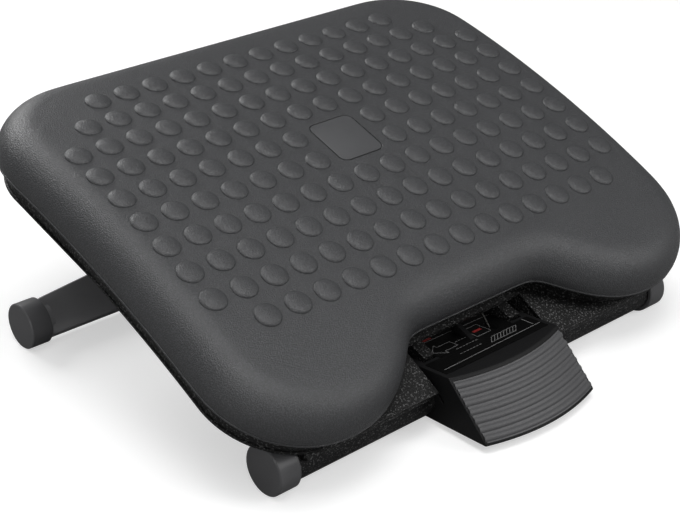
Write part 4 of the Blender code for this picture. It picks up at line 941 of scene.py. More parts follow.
def build_badge():
    """The bare badge plate in its pocket, with a fine border line."""
    outline = badge_outline(0)
    levels = [(0.5 * MM, -BADGE_THICK), (0.0, -BADGE_THICK + 0.3 * MM), (0.0, -0.35 * MM), (0.12 * MM, -0.1 * MM),
              (0.4 * MM, 0.0)]
    mesh = loft([[(x, y, level) for x, y in offset(outline, inset)] for inset, level in levels])
    lay_on_crown(mesh)
    add_piece("badge", mesh, "badge", "platform", ["badge_plate"], PLATFORM)


def both_sides(outline, near, far, edge):
    """A plate across X on each side of the middle, of the given side outline."""
    return join([plate(outline, *sorted((side * near, side * far)), side_point, edge) for side in (-1, 1)])


def build_tray():
    """The black tray under the platform: floor, wall, saddles on the bar and the opening's side walls."""
    outline = rounded_box(HALF_WIDTH - TRAY_INSET, TRAY_INSET - NEAR_EDGE, FAR_EDGE - TRAY_INSET,
                          CORNER_RADIUS - TRAY_INSET, 20)
    base = plate(outline, TRAY_H, TRAY_H + TRAY_WALL, flat_point, 0.5 * MM)
    lay_on_crown(base)
    slot = CRANK_THICK / 2 + SLOT_SPACE
    drum = DRUM_RADIUS + SLOT_SPACE
    drum_half = DRUM_HALF + SLOT_SPACE
    base = combine(
        base, box((-CUT_HALF, -NEAR_EDGE, -NEAR_EDGE), (CUT_HALF, CUT_Y, NEAR_EDGE)),
        box((-slot, wall_back() + GAP, 0), (slot, CRANK_Y + CRANK_END + SLOT_SPACE, TRAY_H + 2 * CROWN_Z)),
        box((-drum_half, HINGE_Y - drum, HINGE_Z), (drum_half, HINGE_Y + drum, HINGE_Z + drum)))
    add_piece("tray_floor", base, "tray", "platform", ["under_tray"], PLATFORM)
    edge = offset_far(platform_edge(), TRAY_INSET + TRAY_STEP)
    roof = TRAY_H + TRAY_WALL / 2
    levels = ((TRAY_WALL, roof), (0.0, roof), (0.0, TRAY_TOP), (TRAY_WALL, TRAY_TOP))
    rings = [[(x, y, level) for x, y in offset_far(edge, inset)] for inset, level in levels]
    wall = loft(rings + rings[:1], capped=False)
    face_out(wall)
    lay_on_crown(wall)
    add_piece("tray_wall", wall, "tray", "platform", (), PLATFORM)
    outer = crown(0, arc_at(0, TRAY_H), TRAY_H).z + TRAY_WALL / 2
    sector = (arc((0, 0), outer, pi - SADDLE_BACK, pi - SADDLE_FRONT, SADDLE_STEPS)
              + arc((0, 0), BAR_RADIUS + GAP, pi - SADDLE_FRONT, pi - SADDLE_BACK, SADDLE_STEPS))
    saddles = both_sides(sector, SADDLE_START, SADDLE_END, 0.3 * MM)
    add_piece("bar_saddles", saddles, "tray", "platform", (), PLATFORM)
    wall = [(y * MM, crown(0, arc_at(y * MM, roof), roof).z) for y in OPENING_TOP]
    wall += [(y * MM, z * MM) for y, z in OPENING_FOOT]
    sides = both_sides(wall, CUT_HALF, SADDLE_START - GAP, 0.2 * MM)
    add_piece("opening_sides", sides, "tray", "platform", (), PLATFORM)


def wall_back():
    """The y of the tray wall's inner face behind the notch."""
    return crown(0, -NOTCH_EDGE + TRAY_INSET + TRAY_STEP + TRAY_WALL, TRAY_H).y


def cap_profile(side, end, radius, bore):
    inner = end - CAP_LENGTH
    points = [(inner, bore, 0), (inner, radius - 0.6 * MM, 0.3 * MM), (inner + 0.6 * MM, radius, 0.3 * MM),
              (end - 0.8 * MM, radius, 0.3 * MM), (end, radius - 0.8 * MM, 0.3 * MM), (end, 0.0, 0),
              (end - CAP_DISC, 0.0, 0), (end - CAP_DISC, bore, 0)]
    return [(side * x, distance) for x, distance in fillet(points, 0)]


def build_front_bar():
    """The front bar's tube and its two caps, cut flat where they stand."""
    half = FRONT_SPAN / 2 - CAP_DISC - GAP
    mesh = tube(BAR_RADIUS, BAR_RADIUS - BAR_WALL, -half, half)
    add_piece("front_tube", mesh, "bar", "base", ["front_bar"], UPRIGHT)
    for side, word in ((-1, "left"), (1, "right")):
        mesh = turned(cap_profile(side, FRONT_SPAN / 2, CAP_RADIUS, BAR_RADIUS + GAP))
        for vert in mesh.verts:
            vert.co.z = max(vert.co.z, -AXIS.z)
        add_piece(f"front_foot_{word}", mesh, "cap", "base", [f"front_cap_{word}"], UPRIGHT)


def build_rear_leg():
    """The folding leg: arms, cross tube, drum, foot beam and its caps."""
    tube_radius = PIN_RADIUS + GAP + TUBE_WALL
    end = ARM_X + ARM_THICK / 2
    mesh = tube(tube_radius, PIN_RADIUS + GAP, -end, end, sides=SMALL_ROUND)
    add_piece("cross_tube", mesh, "beam", "rear_leg", ["leg_cross_tube"], LEG)
    drum = fillet([(-DRUM_HALF, tube_radius + GAP, 0), (-DRUM_HALF, DRUM_RADIUS), (DRUM_HALF, DRUM_RADIUS),
                   (DRUM_HALF, tube_radius + GAP, 0)], 0.7 * MM)
    add_piece("drum", turned(drum), "steel", "rear_leg", ["lock_drum"], LEG)
    foot = LEG_LENGTH - BEAM_THICK / 2 - GAP
    outline = (arc((0, 0), ARM_END_RADIUS, pi / 2, 3 * pi / 2, SMALL_ROUND)
               + [(foot, -ARM_FOOT_HALF), (foot, ARM_FOOT_HALF)])
    for side, word in ((-1, "left"), (1, "right")):
        arm = plate(outline, side * ARM_X - ARM_THICK / 2, side * ARM_X + ARM_THICK / 2, side_point, 0.6 * MM)
        arm = combine(arm, cylinder(tube_radius + GAP, (-FOOT_SPAN, 0, 0), (FOOT_SPAN, 0, 0), SMALL_ROUND))
        add_piece(f"arm_{word}", arm, "beam", "rear_leg", [f"leg_arm_{word}"], LEG)
    beam = plate(fillet(beam_outline(0), 3 * MM), LEG_LENGTH - BEAM_THICK / 2, LEG_LENGTH + BEAM_THICK / 2,
                 front_point, 1.5 * MM)
    channel = plate(beam_outline(BEAM_WALL), LEG_LENGTH - BEAM_THICK / 2 + BEAM_WALL, LEG_LENGTH + BEAM_THICK,
                    front_point)
    beam = combine(beam, channel)
    start = FOOT_SPAN / 2 - CAP_LENGTH - 2 * BEAM_WALL
    stop = FOOT_SPAN / 2 - CAP_DISC - GAP
    for side, word in ((-1, "left"), (1, "right")):
        stub = cylinder(STUB_RADIUS, (side * start, LEG_LENGTH, 0), (side * stop, LEG_LENGTH, 0))
        beam = combine(beam, stub, operation="UNION")
        cap = turned(cap_profile(side, FOOT_SPAN / 2, REAR_CAP_RADIUS, STUB_RADIUS + GAP))
        add_piece(f"rear_foot_{word}", cap, "cap", "rear_leg", [f"rear_cap_{word}"],
                  LEG @ Matrix.Translation((0, LEG_LENGTH, 0)))
    add_piece("beam", beam, "beam", "rear_leg", ["foot_beam"], LEG)


def beam_outline(inset):
    """The beam's outline: straight below, rising to its middle above."""
    end = FOOT_SPAN / 2 - CAP_LENGTH - GAP - 2 * inset
    half = [(end, inset - BEAM_BOTTOM), (end, BEAM_END_TOP - inset), (BEAM_MID_X, BEAM_MID_TOP - inset)]
    return half + [(-x, z) for x, z in reversed(half)]


def build_hinge():
    """The hinge's pin, its clips and its bushes."""
    centre = PLATFORM @ Matrix.Translation((0, HINGE_Y, HINGE_Z))
    ear_end = EAR_START + EAR_THICK
    pin_end = ear_end + 2 * GAP + 2 * CLIP_THICK
    profile = [(-pin_end, 0.0, 0), (-pin_end, PIN_RADIUS), (pin_end, PIN_RADIUS), (pin_end, 0.0, 0)]
    mesh = turned(fillet(profile, 0.7 * MM), SMALL_ROUND)
    add_piece("pivot_pin", mesh, "steel", "platform", ["hinge_pin"], centre)
    inner = PIN_RADIUS + GAP
    start = ARM_X + ARM_THICK / 2 + GAP
    for side, word in ((-1, "left"), (1, "right")):
        ends = sorted((side * (ear_end + GAP), side * (ear_end + GAP + CLIP_THICK)))
        mesh = tube(inner + CLIP_WIDTH, inner, *ends, 0.2 * MM, SMALL_ROUND)
        add_piece(f"clip_{word}", mesh, "steel", "platform", [f"pin_clip_{word}"], centre)
        profile = [(start, inner), (start, EAR_RADIUS - GAP), (start + BUSH_FLANGE, EAR_RADIUS - GAP),
                   (start + BUSH_FLANGE, inner + BUSH_WALL), (ear_end, inner + BUSH_WALL), (ear_end, inner)]
        mesh = turned([(side * x, radius) for x, radius in fillet(profile, 0.2 * MM)], SMALL_ROUND)
        add_piece(f"bush_{word}", mesh, "nylon", "platform", [f"pin_bush_{word}"], centre)


def screw_places():
    """Where each screw's head seats, with the level of its seat."""
    for side in (-1, 1):
        for s in COVER_SCREW_S:
            yield crown_matrix(side * COVER_SCREW_X, s, 0), TRAY_H
        for step in (-1, 1):
            y = CLAMP_SCREW_Y + step * CLAMP_SCREW_STEP
            sag = CLAMP_FLANGE ** 2 / (8 * (CROWN_RADIUS + TRAY_H))
            yield crown_matrix(side * CLAMP_X, arc_at(y, TRAY_H), 0), TRAY_H - GAP - sag - CLAMP_PLATE
            y = HINGE_Y + step * BRACKET_SCREW_STEP
            top = crown(0, arc_at(HINGE_Y + BRACKET_LENGTH / 2, TRAY_H), TRAY_H).z - GAP
            skin = crown(0, arc_at(HINGE_Y, TRAY_H), 0).z
            yield (crown_matrix(side * (EAR_START + BRACKET_SCREW_X), arc_at(y, TRAY_H), 0),
                   top - skin - BRACKET_PLATE)
        yield crown_matrix(side * BRAKE_SCREW_X, arc_at(BRAKE_SCREW_Y, TRAY_H), 0), TRAY_H


def screw_mesh():
    """One cross-recessed screw, which points up from its seat at Z 0."""
    rim = fillet([(0.0, 0.0, 0), (0.0, SCREW_RADIUS, 0), (0, HEAD_RADIUS, 0.2 * MM),
                  (-1.1 * MM, HEAD_RADIUS, 0.9 * MM), (-HEAD_HEIGHT, HEAD_RADIUS * 0.45, 0.8 * MM),
                  (-HEAD_HEIGHT, 0.0, 0)], 0)
    screw = turned([(SHANK, 0.0), (SHANK, SCREW_RADIUS)] + rim[1:], SMALL_ROUND)
    half = Vector((0, RECESS_WIDTH, RECESS_LENGTH)) / 2
    for turn in (pi / 4, 3 * pi / 4):
        screw = combine(screw, box((-HEAD_HEIGHT * 1.2, -half.y, -half.z), (-HEAD_HEIGHT * 0.35, half.y, half.z),
                                   Matrix.Rotation(turn, 4, "X")))
    screw.transform(Matrix.Rotation(-pi / 2, 4, "Y"))
    return screw


def build_screws():
    """Every screw under the platform: one screw, repeated by Geometry Nodes at the points marked as seats."""
    tree, given = geometry_tree("screws in their places", {"Finish": "Material"})
    seat = tree.node("GeometryNodeInputNamedAttribute", {"Name": "seat"}, data_type="BOOLEAN")
    lean = tree.node("GeometryNodeInputNamedAttribute", {"Name": "lean"}, data_type="FLOAT_VECTOR")
    points = tree.node("GeometryNodeMeshToPoints", {"Mesh": given["Geometry"], "Selection": seat})
    screw = tree.node("GeometryNodeDeleteGeometry", {"Geometry": given["Geometry"], "Selection": seat},
                      domain="POINT")
    spread = tree.node("GeometryNodeInstanceOnPoints", {"Points": points, "Instance": screw, "Rotation": lean})
    finish_tree(tree, spread, given["Finish"])
    mesh = screw_mesh()
    seat_layer = mesh.verts.layers.bool.new("seat")
    lean_layer = mesh.verts.layers.float_vector.new("lean")
    for place, level in screw_places():
        vert = mesh.verts.new(place @ Vector((0, 0, level - GAP)))
        vert[seat_layer] = True
        vert[lean_layer] = place.to_euler()
    names = [f"{kind}_screw_{number}" for kind, count in (("cover", 6), ("tray", 8), ("brake", 2))
             for number in range(1, count + 1)]
    add_piece("screws", grow("screws", mesh, tree, {"Finish": LOOKS["steel"]}), "steel", "platform",
              names, PLATFORM)


def bow(x):
    return PEDAL_BOW * (1 - (x / PEDAL_HALF) ** 2)


def bowed(outline, half, edge, follows):
    """A bar across X of the given side outline; points for which follows is true take the bow."""
    levels = [(-half + rise, inset) for inset, rise in rounding(edge)]
    levels += [(x, 0.0) for x in (-half + 2 * half * step / BOW_STEPS for step in range(1, BOW_STEPS))
               if abs(x) < half - edge]
    levels += [(half - rise, inset) for inset, rise in reversed(rounding(edge))]
    rings = []
    for x, inset in levels:
        rings.append([(x, y - (bow(x) if follows(y) else 0), z) for y, z in offset(outline, inset)])
    return loft(rings)


def face_frame():
    up = (PEDAL_TOP_FRONT - PEDAL_BOTTOM).normalized()
    return up, Vector((-up.y, up.x))


def panel_place():
    along = PEDAL_TOP_BACK - PEDAL_TOP_FRONT
    slope = atan2(along.y, along.x)
    level = PEDAL_TOP_FRONT.y - PEDAL_TOP_FRONT.x * tan(slope)
    return Matrix.Translation((0, 0, level)) @ Matrix.Rotation(slope, 4, "X")


def build_pedal():
    """The pedal's moulding: bowed front, cheeks with a flexing slot, pockets, and the crank round the bar."""
    heel = (-sqrt((BAR_RADIUS + 1.5 * GAP) ** 2 - PEDAL_HEEL_Z ** 2), PEDAL_HEEL_Z)
    outline = fillet([(*PEDAL_BOTTOM, 1.2 * MM), (*heel, 1 * MM), (PEDAL_HOOK_Y, 0, 3 * MM),
                      (PEDAL_HOOK_Y, PEDAL_TOP_BACK.y / 2, 3 * MM), (*PEDAL_TOP_BACK, 2 * MM),
                      (*PEDAL_TOP_FRONT, 1.2 * MM)], 0)
    front_limit = PEDAL_TOP_FRONT.x + PEDAL_WALL
    body = bowed(outline, PEDAL_HALF, 0.5 * MM, lambda y: y < front_limit)
    slots = ((-CLAMP_X, CLAMP_SLOT_HALF, CLAMP_SLOT_START, PEDAL_HALF),
             (CLAMP_X, CLAMP_SLOT_HALF, CLAMP_SLOT_START, PEDAL_HALF),
             (spring_leg(), LEG_SLOT_HALF, LEG_SLOT_START, LEG_SLOT_END))
    body = combine(body, pedal_cavity(), *(box((x - half, start, 0), (x + half, end, PEDAL_HALF))
                                           for x, half, start, end in slots),
                   cylinder(BAR_RADIUS + GAP, (-2 * PEDAL_HALF, 0, 0), (2 * PEDAL_HALF, 0, 0)))
    body = combine(body, crank(), operation="UNION")
    for side in (-1, 1):
        place = (Matrix.Translation((side * (PEDAL_HALF - PEDAL_CHEEK / 2), *PEDAL_SLOT_CENTRE))
                 @ Matrix.Rotation(PEDAL_SLOT_ANGLE, 4, "X"))
        half_slot = PEDAL_SLOT_LENGTH / 2 - PEDAL_SLOT_HALF
        ends = (arc((half_slot, 0), PEDAL_SLOT_HALF, -pi / 2, pi / 2, 8)
                + arc((-half_slot, 0), PEDAL_SLOT_HALF, pi / 2, 3 * pi / 2, 8))
        slot = plate(ends, -PEDAL_CHEEK, PEDAL_CHEEK, side_point, 0.0)
        slot.transform(place)
        body = combine(body, slot)
    seat = bowed(tread_outline(GAP, 2 * MM), PEDAL_HALF - TREAD_SIDE + GAP, 0.0, lambda y: True)
    recess = box((-LABEL_HALF - GAP, LABEL_FRONT - GAP, -LABEL_THICK - GAP),
                 (LABEL_HALF + GAP, LABEL_BACK + GAP, LABEL_THICK), panel_place())
    body = combine(body, seat, recess)
    add_piece("pedal", body, "pedal", "pedal", ["pedal_body"], UPRIGHT)


def spring_leg():
    """Where the return spring's long leg stands along the bar."""
    return TORSION_X + TORSION_PITCH * (TORSION_TURNS + (TORSION_FRONT - TORSION_BACK) / (2 * pi))


def pedal_cavity():
    """The space inside the pedal, between its cheeks, open below and behind."""
    up, out = face_frame()
    panel = (PEDAL_TOP_BACK - PEDAL_TOP_FRONT).normalized()
    inner_foot = PEDAL_BOTTOM - out * PEDAL_WALL
    inner_top = PEDAL_TOP_FRONT + Vector((panel.y, -panel.x)) * PEDAL_WALL
    between = inner_top - inner_foot
    corner = inner_foot + up * (between.x * panel.y - between.y * panel.x) / (up.x * panel.y - up.y * panel.x)
    below = inner_foot - up * PEDAL_HALF
    behind = corner + panel * 2 * PEDAL_HALF
    limit = corner.x + GAP
    outline = [tuple(below), (behind.x, below.y), tuple(behind), tuple(corner)]
    return bowed(outline, PEDAL_HALF - PEDAL_CHEEK, 0.0, lambda y: y < limit)


def crank():
    """The web under the panel that goes round the bar and ends in the rod's eye."""
    inner = BAR_RADIUS + GAP
    outer = inner + CRANK_WALL
    eye = (CRANK_Y, CRANK_Z)
    heel = wall_back() + GAP + CRANK_SWING
    outline = (arc((0, 0), outer, CRANK_FRONT, CRANK_RISE, EYE_STEPS) + [(heel, outer + CRANK_LIFT)]
               + arc(eye, CRANK_END, pi, 0, EYE_STEPS)
               + [(CRANK_Y + CRANK_END, outer - CRANK_LIFT), (heel, outer - CRANK_WALL)]
               + arc((0, 0), inner, CRANK_BACK, CRANK_FRONT, CORNER_STEPS))
    mesh = plate(outline, -CRANK_THICK / 2, CRANK_THICK / 2, side_point, 0.2 * MM)
    half = ROD_RADIUS * CRANK_EYE
    slot = arc(eye, half, 0, pi, 12) + arc((CRANK_Y, CRANK_Z - CRANK_TRAVEL), half, pi, 2 * pi, 12)
    mesh = combine(mesh, plate(slot, -CRANK_THICK, CRANK_THICK, side_point, 0.0))
    mesh.transform(Matrix.Rotation(TILT, 4, "X"))
    web = box((-CRANK_THICK / 2 + GAP, PEDAL_TOP_FRONT.x + PEDAL_WALL, -CRANK_WEB_DEPTH),
              (CRANK_THICK / 2 - GAP, CRANK_WEB_BACK, -PEDAL_WALL / 2), panel_place())
    return combine(mesh, web, operation="UNION")


def tread_outline(spread, rise):
    """The pad's side outline, grown all round, with its face at the given rise."""
    up, out = face_frame()
    length = (PEDAL_TOP_FRONT - PEDAL_BOTTOM).length
    start = TREAD_MARGIN - spread
    end = length - TREAD_MARGIN + spread
    path = ((start, -TREAD_THICK - spread), (start, rise), (end, rise), (end, -TREAD_THICK - spread))
    return [tuple(PEDAL_BOTTOM + up * along + out * level) for along, level in path]


def build_tread(count, height):
    """The tread: a bowed pad with round ribs laid on it by Geometry Nodes."""
    up, out = face_frame()
    half = PEDAL_HALF - TREAD_SIDE
    pitch = ((PEDAL_TOP_FRONT - PEDAL_BOTTOM).length - 2 * TREAD_MARGIN) / count
    radius = pitch * RIB_SHARE
    tree, given = geometry_tree("ribs up the face", {
        "Count": "Int", "Step": "Vector", "Radius": "Float", "Finish": "Material"})
    row = tree.node("GeometryNodeMeshLine", {"Count": given["Count"], "Offset": given["Step"]}, mode="OFFSET")
    spread = tree.node("GeometryNodeInstanceOnPoints",
                       {"Points": row, "Instance": swept(tree, given, RIB_SIDES)})
    finish_tree(tree, spread, given["Finish"])
    first = PEDAL_BOTTOM + up * (TREAD_MARGIN + pitch / 2) + out * (height - radius)
    stations = [-half + 2 * half * step / BOW_STEPS for step in range(BOW_STEPS + 1)]
    rib = path_mesh([(x, first.x - bow(x), first.y) for x in stations])
    ribs = grow("tread_ribs", rib, tree, {"Count": count, "Step": (0, *(up * pitch)), "Radius": radius,
                                          "Finish": LOOKS["tread"]})
    add_piece("tread_ribs", ribs, "tread", "pedal", (), UPRIGHT)
    pad = bowed(tread_outline(0, 0), half, 0.3 * MM, lambda y: True)
    add_piece("tread_pad", pad, "tread", "pedal", ["pedal_tread"], UPRIGHT)


def strokes(lines, width):
    """Thin raised lines along flat paths, as boxes with square joints."""
    half = width / 2
    parts = []
    for line in lines:
        for first, second in zip(line, line[1:]):
            start = Vector(first) * MM
            along = Vector(second) * MM - start
            turn = Matrix.Translation((*start, 0)) @ Matrix.Rotation(atan2(along.y, along.x), 4, "Z")
            parts.append(box((-half, -half, -PRINT_HEIGHT), (along.length + half, half, PRINT_HEIGHT), turn))
    return join(parts)


FRAME_LINES = (((-45.5, -16), (48, -14.5)), ((-34, 22.5), (34, 20.5)), ((43, -12.5), (43.4, -2)),
               ((-33, 24.5), (-33, 30), (-25, 30)))
PLAIN_LINES = (
    ((-34, 7), (-26, 14.5), (-26, 11), (-14, 11), (-14, 3), (-26, 3), (-26, -0.5), (-34, 7)),
    *(((x, y), (x + 1.6, y)) for y, start, end in ((7.5, -12, -2), (-0.8, -19, 2), (-7.5, -22, -2))
      for x in range(start, end, 3)),
    *(((x, -11), (x + 6, -5)) for x in range(4, 30, 3)), ((4, -11), (28, -11)), ((10, -5), (34, -5)),
    ((4, 2), (4, 16), (17, 16), (17, 2), (4, 2)),
)
MARK_LINES = (((8, 9), (13, 9)), ((-25, 24.5), (-20, 24.5)))


def build_label():
    """The film on the panel, in two parts, with border lines, plain lines and two marks."""
    place = UPRIGHT @ panel_place()
    outline = rounded_box(LABEL_HALF, LABEL_FRONT, LABEL_BACK, LABEL_CORNER, 6)
    film = plate(outline, -LABEL_THICK, LABEL_RISE, flat_point, 0.1 * MM)
    add_piece("label_film", film, "label", "pedal", ["pedal_label"], place)
    outline = rounded_box(CLAMP_X - CLAMP_SLOT_HALF - GAP, LABEL_BACK + GAP, PEDAL_TOP_BACK.x - LABEL_CORNER,
                          LABEL_CORNER, 6)
    leg = spring_leg()
    slot = box((leg - LEG_SLOT_HALF, LEG_SLOT_START, -LABEL_RISE),
               (leg + LEG_SLOT_HALF, LEG_SLOT_END, 2 * LABEL_RISE))
    film = combine(plate(outline, 0.0, LABEL_RISE, flat_point, 0.0), slot)
    add_piece("label_back", film, "label", "pedal", (), place)
    lift = place @ Matrix.Translation((0, 0, LABEL_RISE))
    for name, lines, width, look in (("label_border", FRAME_LINES, BORDER_WIDTH, "print"),
                                     ("label_lines", PLAIN_LINES, LINE_WIDTH, "print"),
                                     ("label_marks", MARK_LINES, MARK_WIDTH, "mark")):
        add_piece(name, strokes(lines, width), look, "pedal", (), lift)


def helix(turn):
    """Pairs of (share of the way, angle) along a winding that turns by the given angle."""
    steps = round(turn / (2 * pi) * COIL_STEPS)
    return [(step / steps, turn * step / steps) for step in range(steps + 1)]


def build_rod():
    """The release rod, with a bent end through the crank's eye and the lever's."""
    length = hypot(BRAKE_Y - CRANK_Y, BRAKE_Z + BRAKE_HORN - CRANK_Z)
    tip = -(BRAKE_THICK / 2 + ROD_RADIUS)
    bend = 2 * ROD_RADIUS
    path = [(tip, 0)] + arc((ROD_X - bend, bend), bend, -pi / 2, 0, 12)
    path += arc((ROD_X - bend, length - bend), bend, 0, pi / 2, 12) + [(tip, length)]
    rod = wire("rod", [(x, y, 0) for x, y in path], ROD_RADIUS, "steel", 20)
    place = PLATFORM @ Matrix.Translation((0, CRANK_Y, CRANK_Z)) @ Matrix.Rotation(ROD_ANGLE, 4, "X")
    add_piece("rod", rod, "steel", "rod", ["release_rod"], place)


def build_shoe_spring():
    """The coil between the brake lever and the shell's skin."""
    drum_y = HINGE_Y - BRAKE_Y
    arm_high = HINGE_Z - BRAKE_Z + DRUM_RADIUS + 2 * GAP + SHOE_THICK + BRAKE_BAR
    low = arm_high + GAP + SPRING_WIRE
    high = crown(0, arc_at(HINGE_Y, 0), -SHELL_WALL).z - BRAKE_Z - GAP - 1.5 * SPRING_WIRE
    coil = [(SPRING_RADIUS * cos(angle), drum_y + SPRING_RADIUS * sin(angle), low + (high - low) * share)
            for share, angle in helix(2 * pi * SPRING_TURNS)]
    place = PLATFORM @ Matrix.Translation((0, BRAKE_Y, BRAKE_Z))
    ends = [place @ Vector((0, drum_y, level)) for level in (low, high)]
    spring = wire("shoe_spring", coil, SPRING_WIRE, "spring")
    add_piece("shoe_spring", spring, "spring", "lever", ["brake_spring"], place,
              ("platform", *ends))


def build_return_spring():
    """The torsion coil round the bar: one leg under the pedal's front, one against the tray."""
    rest_z = crown(0, arc_at(TORSION_REST_Y, TRAY_H), TRAY_H).z - 1.5 * GAP - TORSION_WIRE
    tray_tip = Matrix.Rotation(TILT, 2) @ Vector((TORSION_REST_Y, rest_z))
    end = TORSION_FRONT + 2 * pi * TORSION_TURNS
    sweep = end - TORSION_BACK
    run = TORSION_PITCH * sweep / (2 * pi)
    coil = [Vector((TORSION_X + run * (1 - share), TORSION_RADIUS * cos(TORSION_BACK + angle),
                    TORSION_RADIUS * sin(TORSION_BACK + angle))) for share, angle in helix(sweep)]
    knee = coil[0] + TORSION_KNEE * Vector((0, sin(TORSION_BACK), -cos(TORSION_BACK)))
    tip = coil[-1] + TORSION_LEG * Vector((0, -sin(end), cos(end)))
    hook = Vector((knee.x, *tray_tip))
    spring = wire("return_spring", [hook, knee, *coil, tip], TORSION_WIRE, "spring")
    add_piece("return_spring", spring, "spring", "pedal", ["pedal_spring"], UPRIGHT,
              ("platform", UPRIGHT @ knee, UPRIGHT @ hook))


def build_fittings():
    """CAD pieces whose shapes stay, in their own finishes."""
    for name, look in FITTINGS.items():
        paint(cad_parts[name], look)


# The stage

def add_lamp(name, place, width, depth, power):
    data = bpy.data.lights.new(name, "AREA")
    data.shape = "RECTANGLE"
    data.size = width
    data.size_y = depth
    data.energy = power
    lamp = bpy.data.objects.new(name, data)
    lamp.location = place
    lamp.rotation_euler = (LAMP_TARGET - Vector(place)).to_track_quat("-Z", "Y").to_euler()
    bpy.context.scene.collection.objects.link(lamp)


def floor_finish(colour):
    """The pale floor: matt and a little aglow to the camera, and dimmer in the light it sends back."""
    found = bpy.data.materials.new("pale floor")
    found.use_nodes = True
    tree = Tree(found.node_tree)
    found.node_tree.nodes.remove(found.node_tree.nodes["Principled BSDF"])
    shown = tree.out(tree.node("ShaderNodeLightPath"), "Is Camera Ray")
    matt = tree.node("ShaderNodeBsdfDiffuse", {"Color": (*colour, 1)})
    glow = tree.node("ShaderNodeEmission", {"Color": (1, 1, 1, 1), "Strength": FLOOR_GLOW})
    both = tree.node("ShaderNodeAddShader", {0: matt, 1: glow})
    dim = tree.node("ShaderNodeBsdfDiffuse", {"Color": (*scaled(colour, FLOOR_BOUNCE), 1)})
    mixed = tree.node("ShaderNodeMixShader", {0: shown, 1: dim, 2: both})
    tree.feed(found.node_tree.nodes["Material Output"].inputs["Surface"], mixed)
    return found


def build_stage(floor_colour):
    """The floor, the light and the photograph's camera."""
    scene = bpy.context.scene
    scene.view_settings.view_transform = "Standard"
    scene.world = bpy.data.worlds.new("studio")
    scene.world.use_nodes = True
    tree = Tree(scene.world.node_tree)
    rays = tree.node("ShaderNodeLightPath")
    seen = tree.out(rays, "Is Camera Ray").maths("MAXIMUM", tree.out(rays, "Is Transmission Ray"))
    background = tree.tree.nodes["Background"]
    tree.feed(background.inputs["Color"], (1, 1, 1, 1))
    tree.feed(background.inputs["Strength"], seen * (1 - WORLD_LIGHT) + WORLD_LIGHT)

    floor = new_object("floor", box((-FLOOR_HALF, -FLOOR_HALF, -0.01), (FLOOR_HALF, FLOOR_HALF, 0)))
    floor.data.materials.append(floor_finish(floor_colour))
    for lamp in LAMPS:
        add_lamp(*lamp)

    camera = bpy.data.objects.new("camera", bpy.data.cameras.new("camera"))
    camera.data.lens = FOCAL
    camera.data.sensor_width = 36
    camera.data.clip_start = 0.05
    camera.location = EYE
    look = Vector((cos(LOOK_DOWN) * sin(LOOK_AZIMUTH), cos(LOOK_DOWN) * cos(LOOK_AZIMUTH), -sin(LOOK_DOWN)))
    camera.rotation_euler = look.to_track_quat("-Z", "Y").to_euler()
    scene.collection.objects.link(camera)
    scene.camera = camera


# Add-on

def size_value(label, about, default):
    return FloatProperty(name=label, description=about, default=default, min=0, unit="LENGTH")


def colour_value(label, about, default):
    return FloatVectorProperty(name=label, description=about, default=default, size=3, min=0, max=1,
                               subtype="COLOR")


class FootrestSizes(bpy.types.PropertyGroup):
    bump_radius: size_value("Bump radius", "Radius of each massage bump at its foot", 9.3 * MM)
    bump_height: size_value("Bump height", "Height of each massage bump", 3 * MM)
    rib_height: size_value("Rib height", "Height of the ribs on the pedal's tread", 1.1 * MM)
    rib_count: IntProperty(name="Ribs", description="Number of ribs on the pedal's tread", default=7, min=1)


class FootrestColours(bpy.types.PropertyGroup):
    platform: colour_value("Platform", "Moulded plastic of the platform", (0.05, 0.051, 0.0535))
    badge: colour_value("Badge", "Plate in the middle of the platform", (0.07, 0.071, 0.074))
    tray: colour_value("Tray", "Coarse plastic under the platform", (0.005, 0.005, 0.005))
    # Painted highlight: the colour painted on the highest grains of the coarse black textures, in place of glints
    # of light.
    painted_glint_colour: colour_value("Speckle", "Highest grains of the coarse black textures", (0.11, 0.11, 0.11))
    bar: colour_value("Bar", "Powder coat of the front bar", (0.01, 0.01, 0.0105))
    beam: colour_value("Leg", "Paint of the rear leg", (0.25, 0.25, 0.257))
    cap: colour_value("Caps", "Plastic of the end caps", (0.1, 0.1, 0.104))
    pedal: colour_value("Pedal", "Plastic of the pedal", (0.009, 0.009, 0.0095))
    tread: colour_value("Tread", "Plastic of the pedal's tread", (0.08, 0.08, 0.083))
    label: colour_value("Label", "Film on the pedal", (0.003, 0.003, 0.003))
    label_print: colour_value("Print", "Lines on the pedal's label", (0.18, 0.18, 0.18))
    label_mark: colour_value("Mark", "Marks on the pedal's label", (0.3, 0.02, 0.02))
    steel: colour_value("Steel", "Plated steel of the lock and the screws", (0.55, 0.54, 0.52))
    nylon: colour_value("Nylon", "Bushes and the rod's guide", (0.7, 0.69, 0.65))
    rubber: colour_value("Rubber", "Brake shoe", (0.015, 0.015, 0.015))
    floor: colour_value("Floor", "Floor under the footrest", (0.6, 0.6, 0.6))


class FOOTREST_OT_finishes(bpy.types.Operator):
    """Make the footrest's finishes"""
    bl_idname = "footrest.finishes"
    bl_label = "Finishes"

    def execute(self, context):
        build_finishes(context.scene.footrest_colours)
        return {"FINISHED"}


class FOOTREST_OT_cover(bpy.types.Operator):
    """Build the platform's shell"""
    bl_idname = "footrest.cover"
    bl_label = "Platform shell"

    def execute(self, context):
        build_cover()
        return {"FINISHED"}


class FOOTREST_OT_bumps(bpy.types.Operator):
    """Lay the bumps over the platform"""
    bl_idname = "footrest.bumps"
    bl_label = "Bumps"

    def execute(self, context):
        sizes = context.scene.footrest_sizes
        build_bumps(sizes.bump_radius, sizes.bump_height)
        return {"FINISHED"}


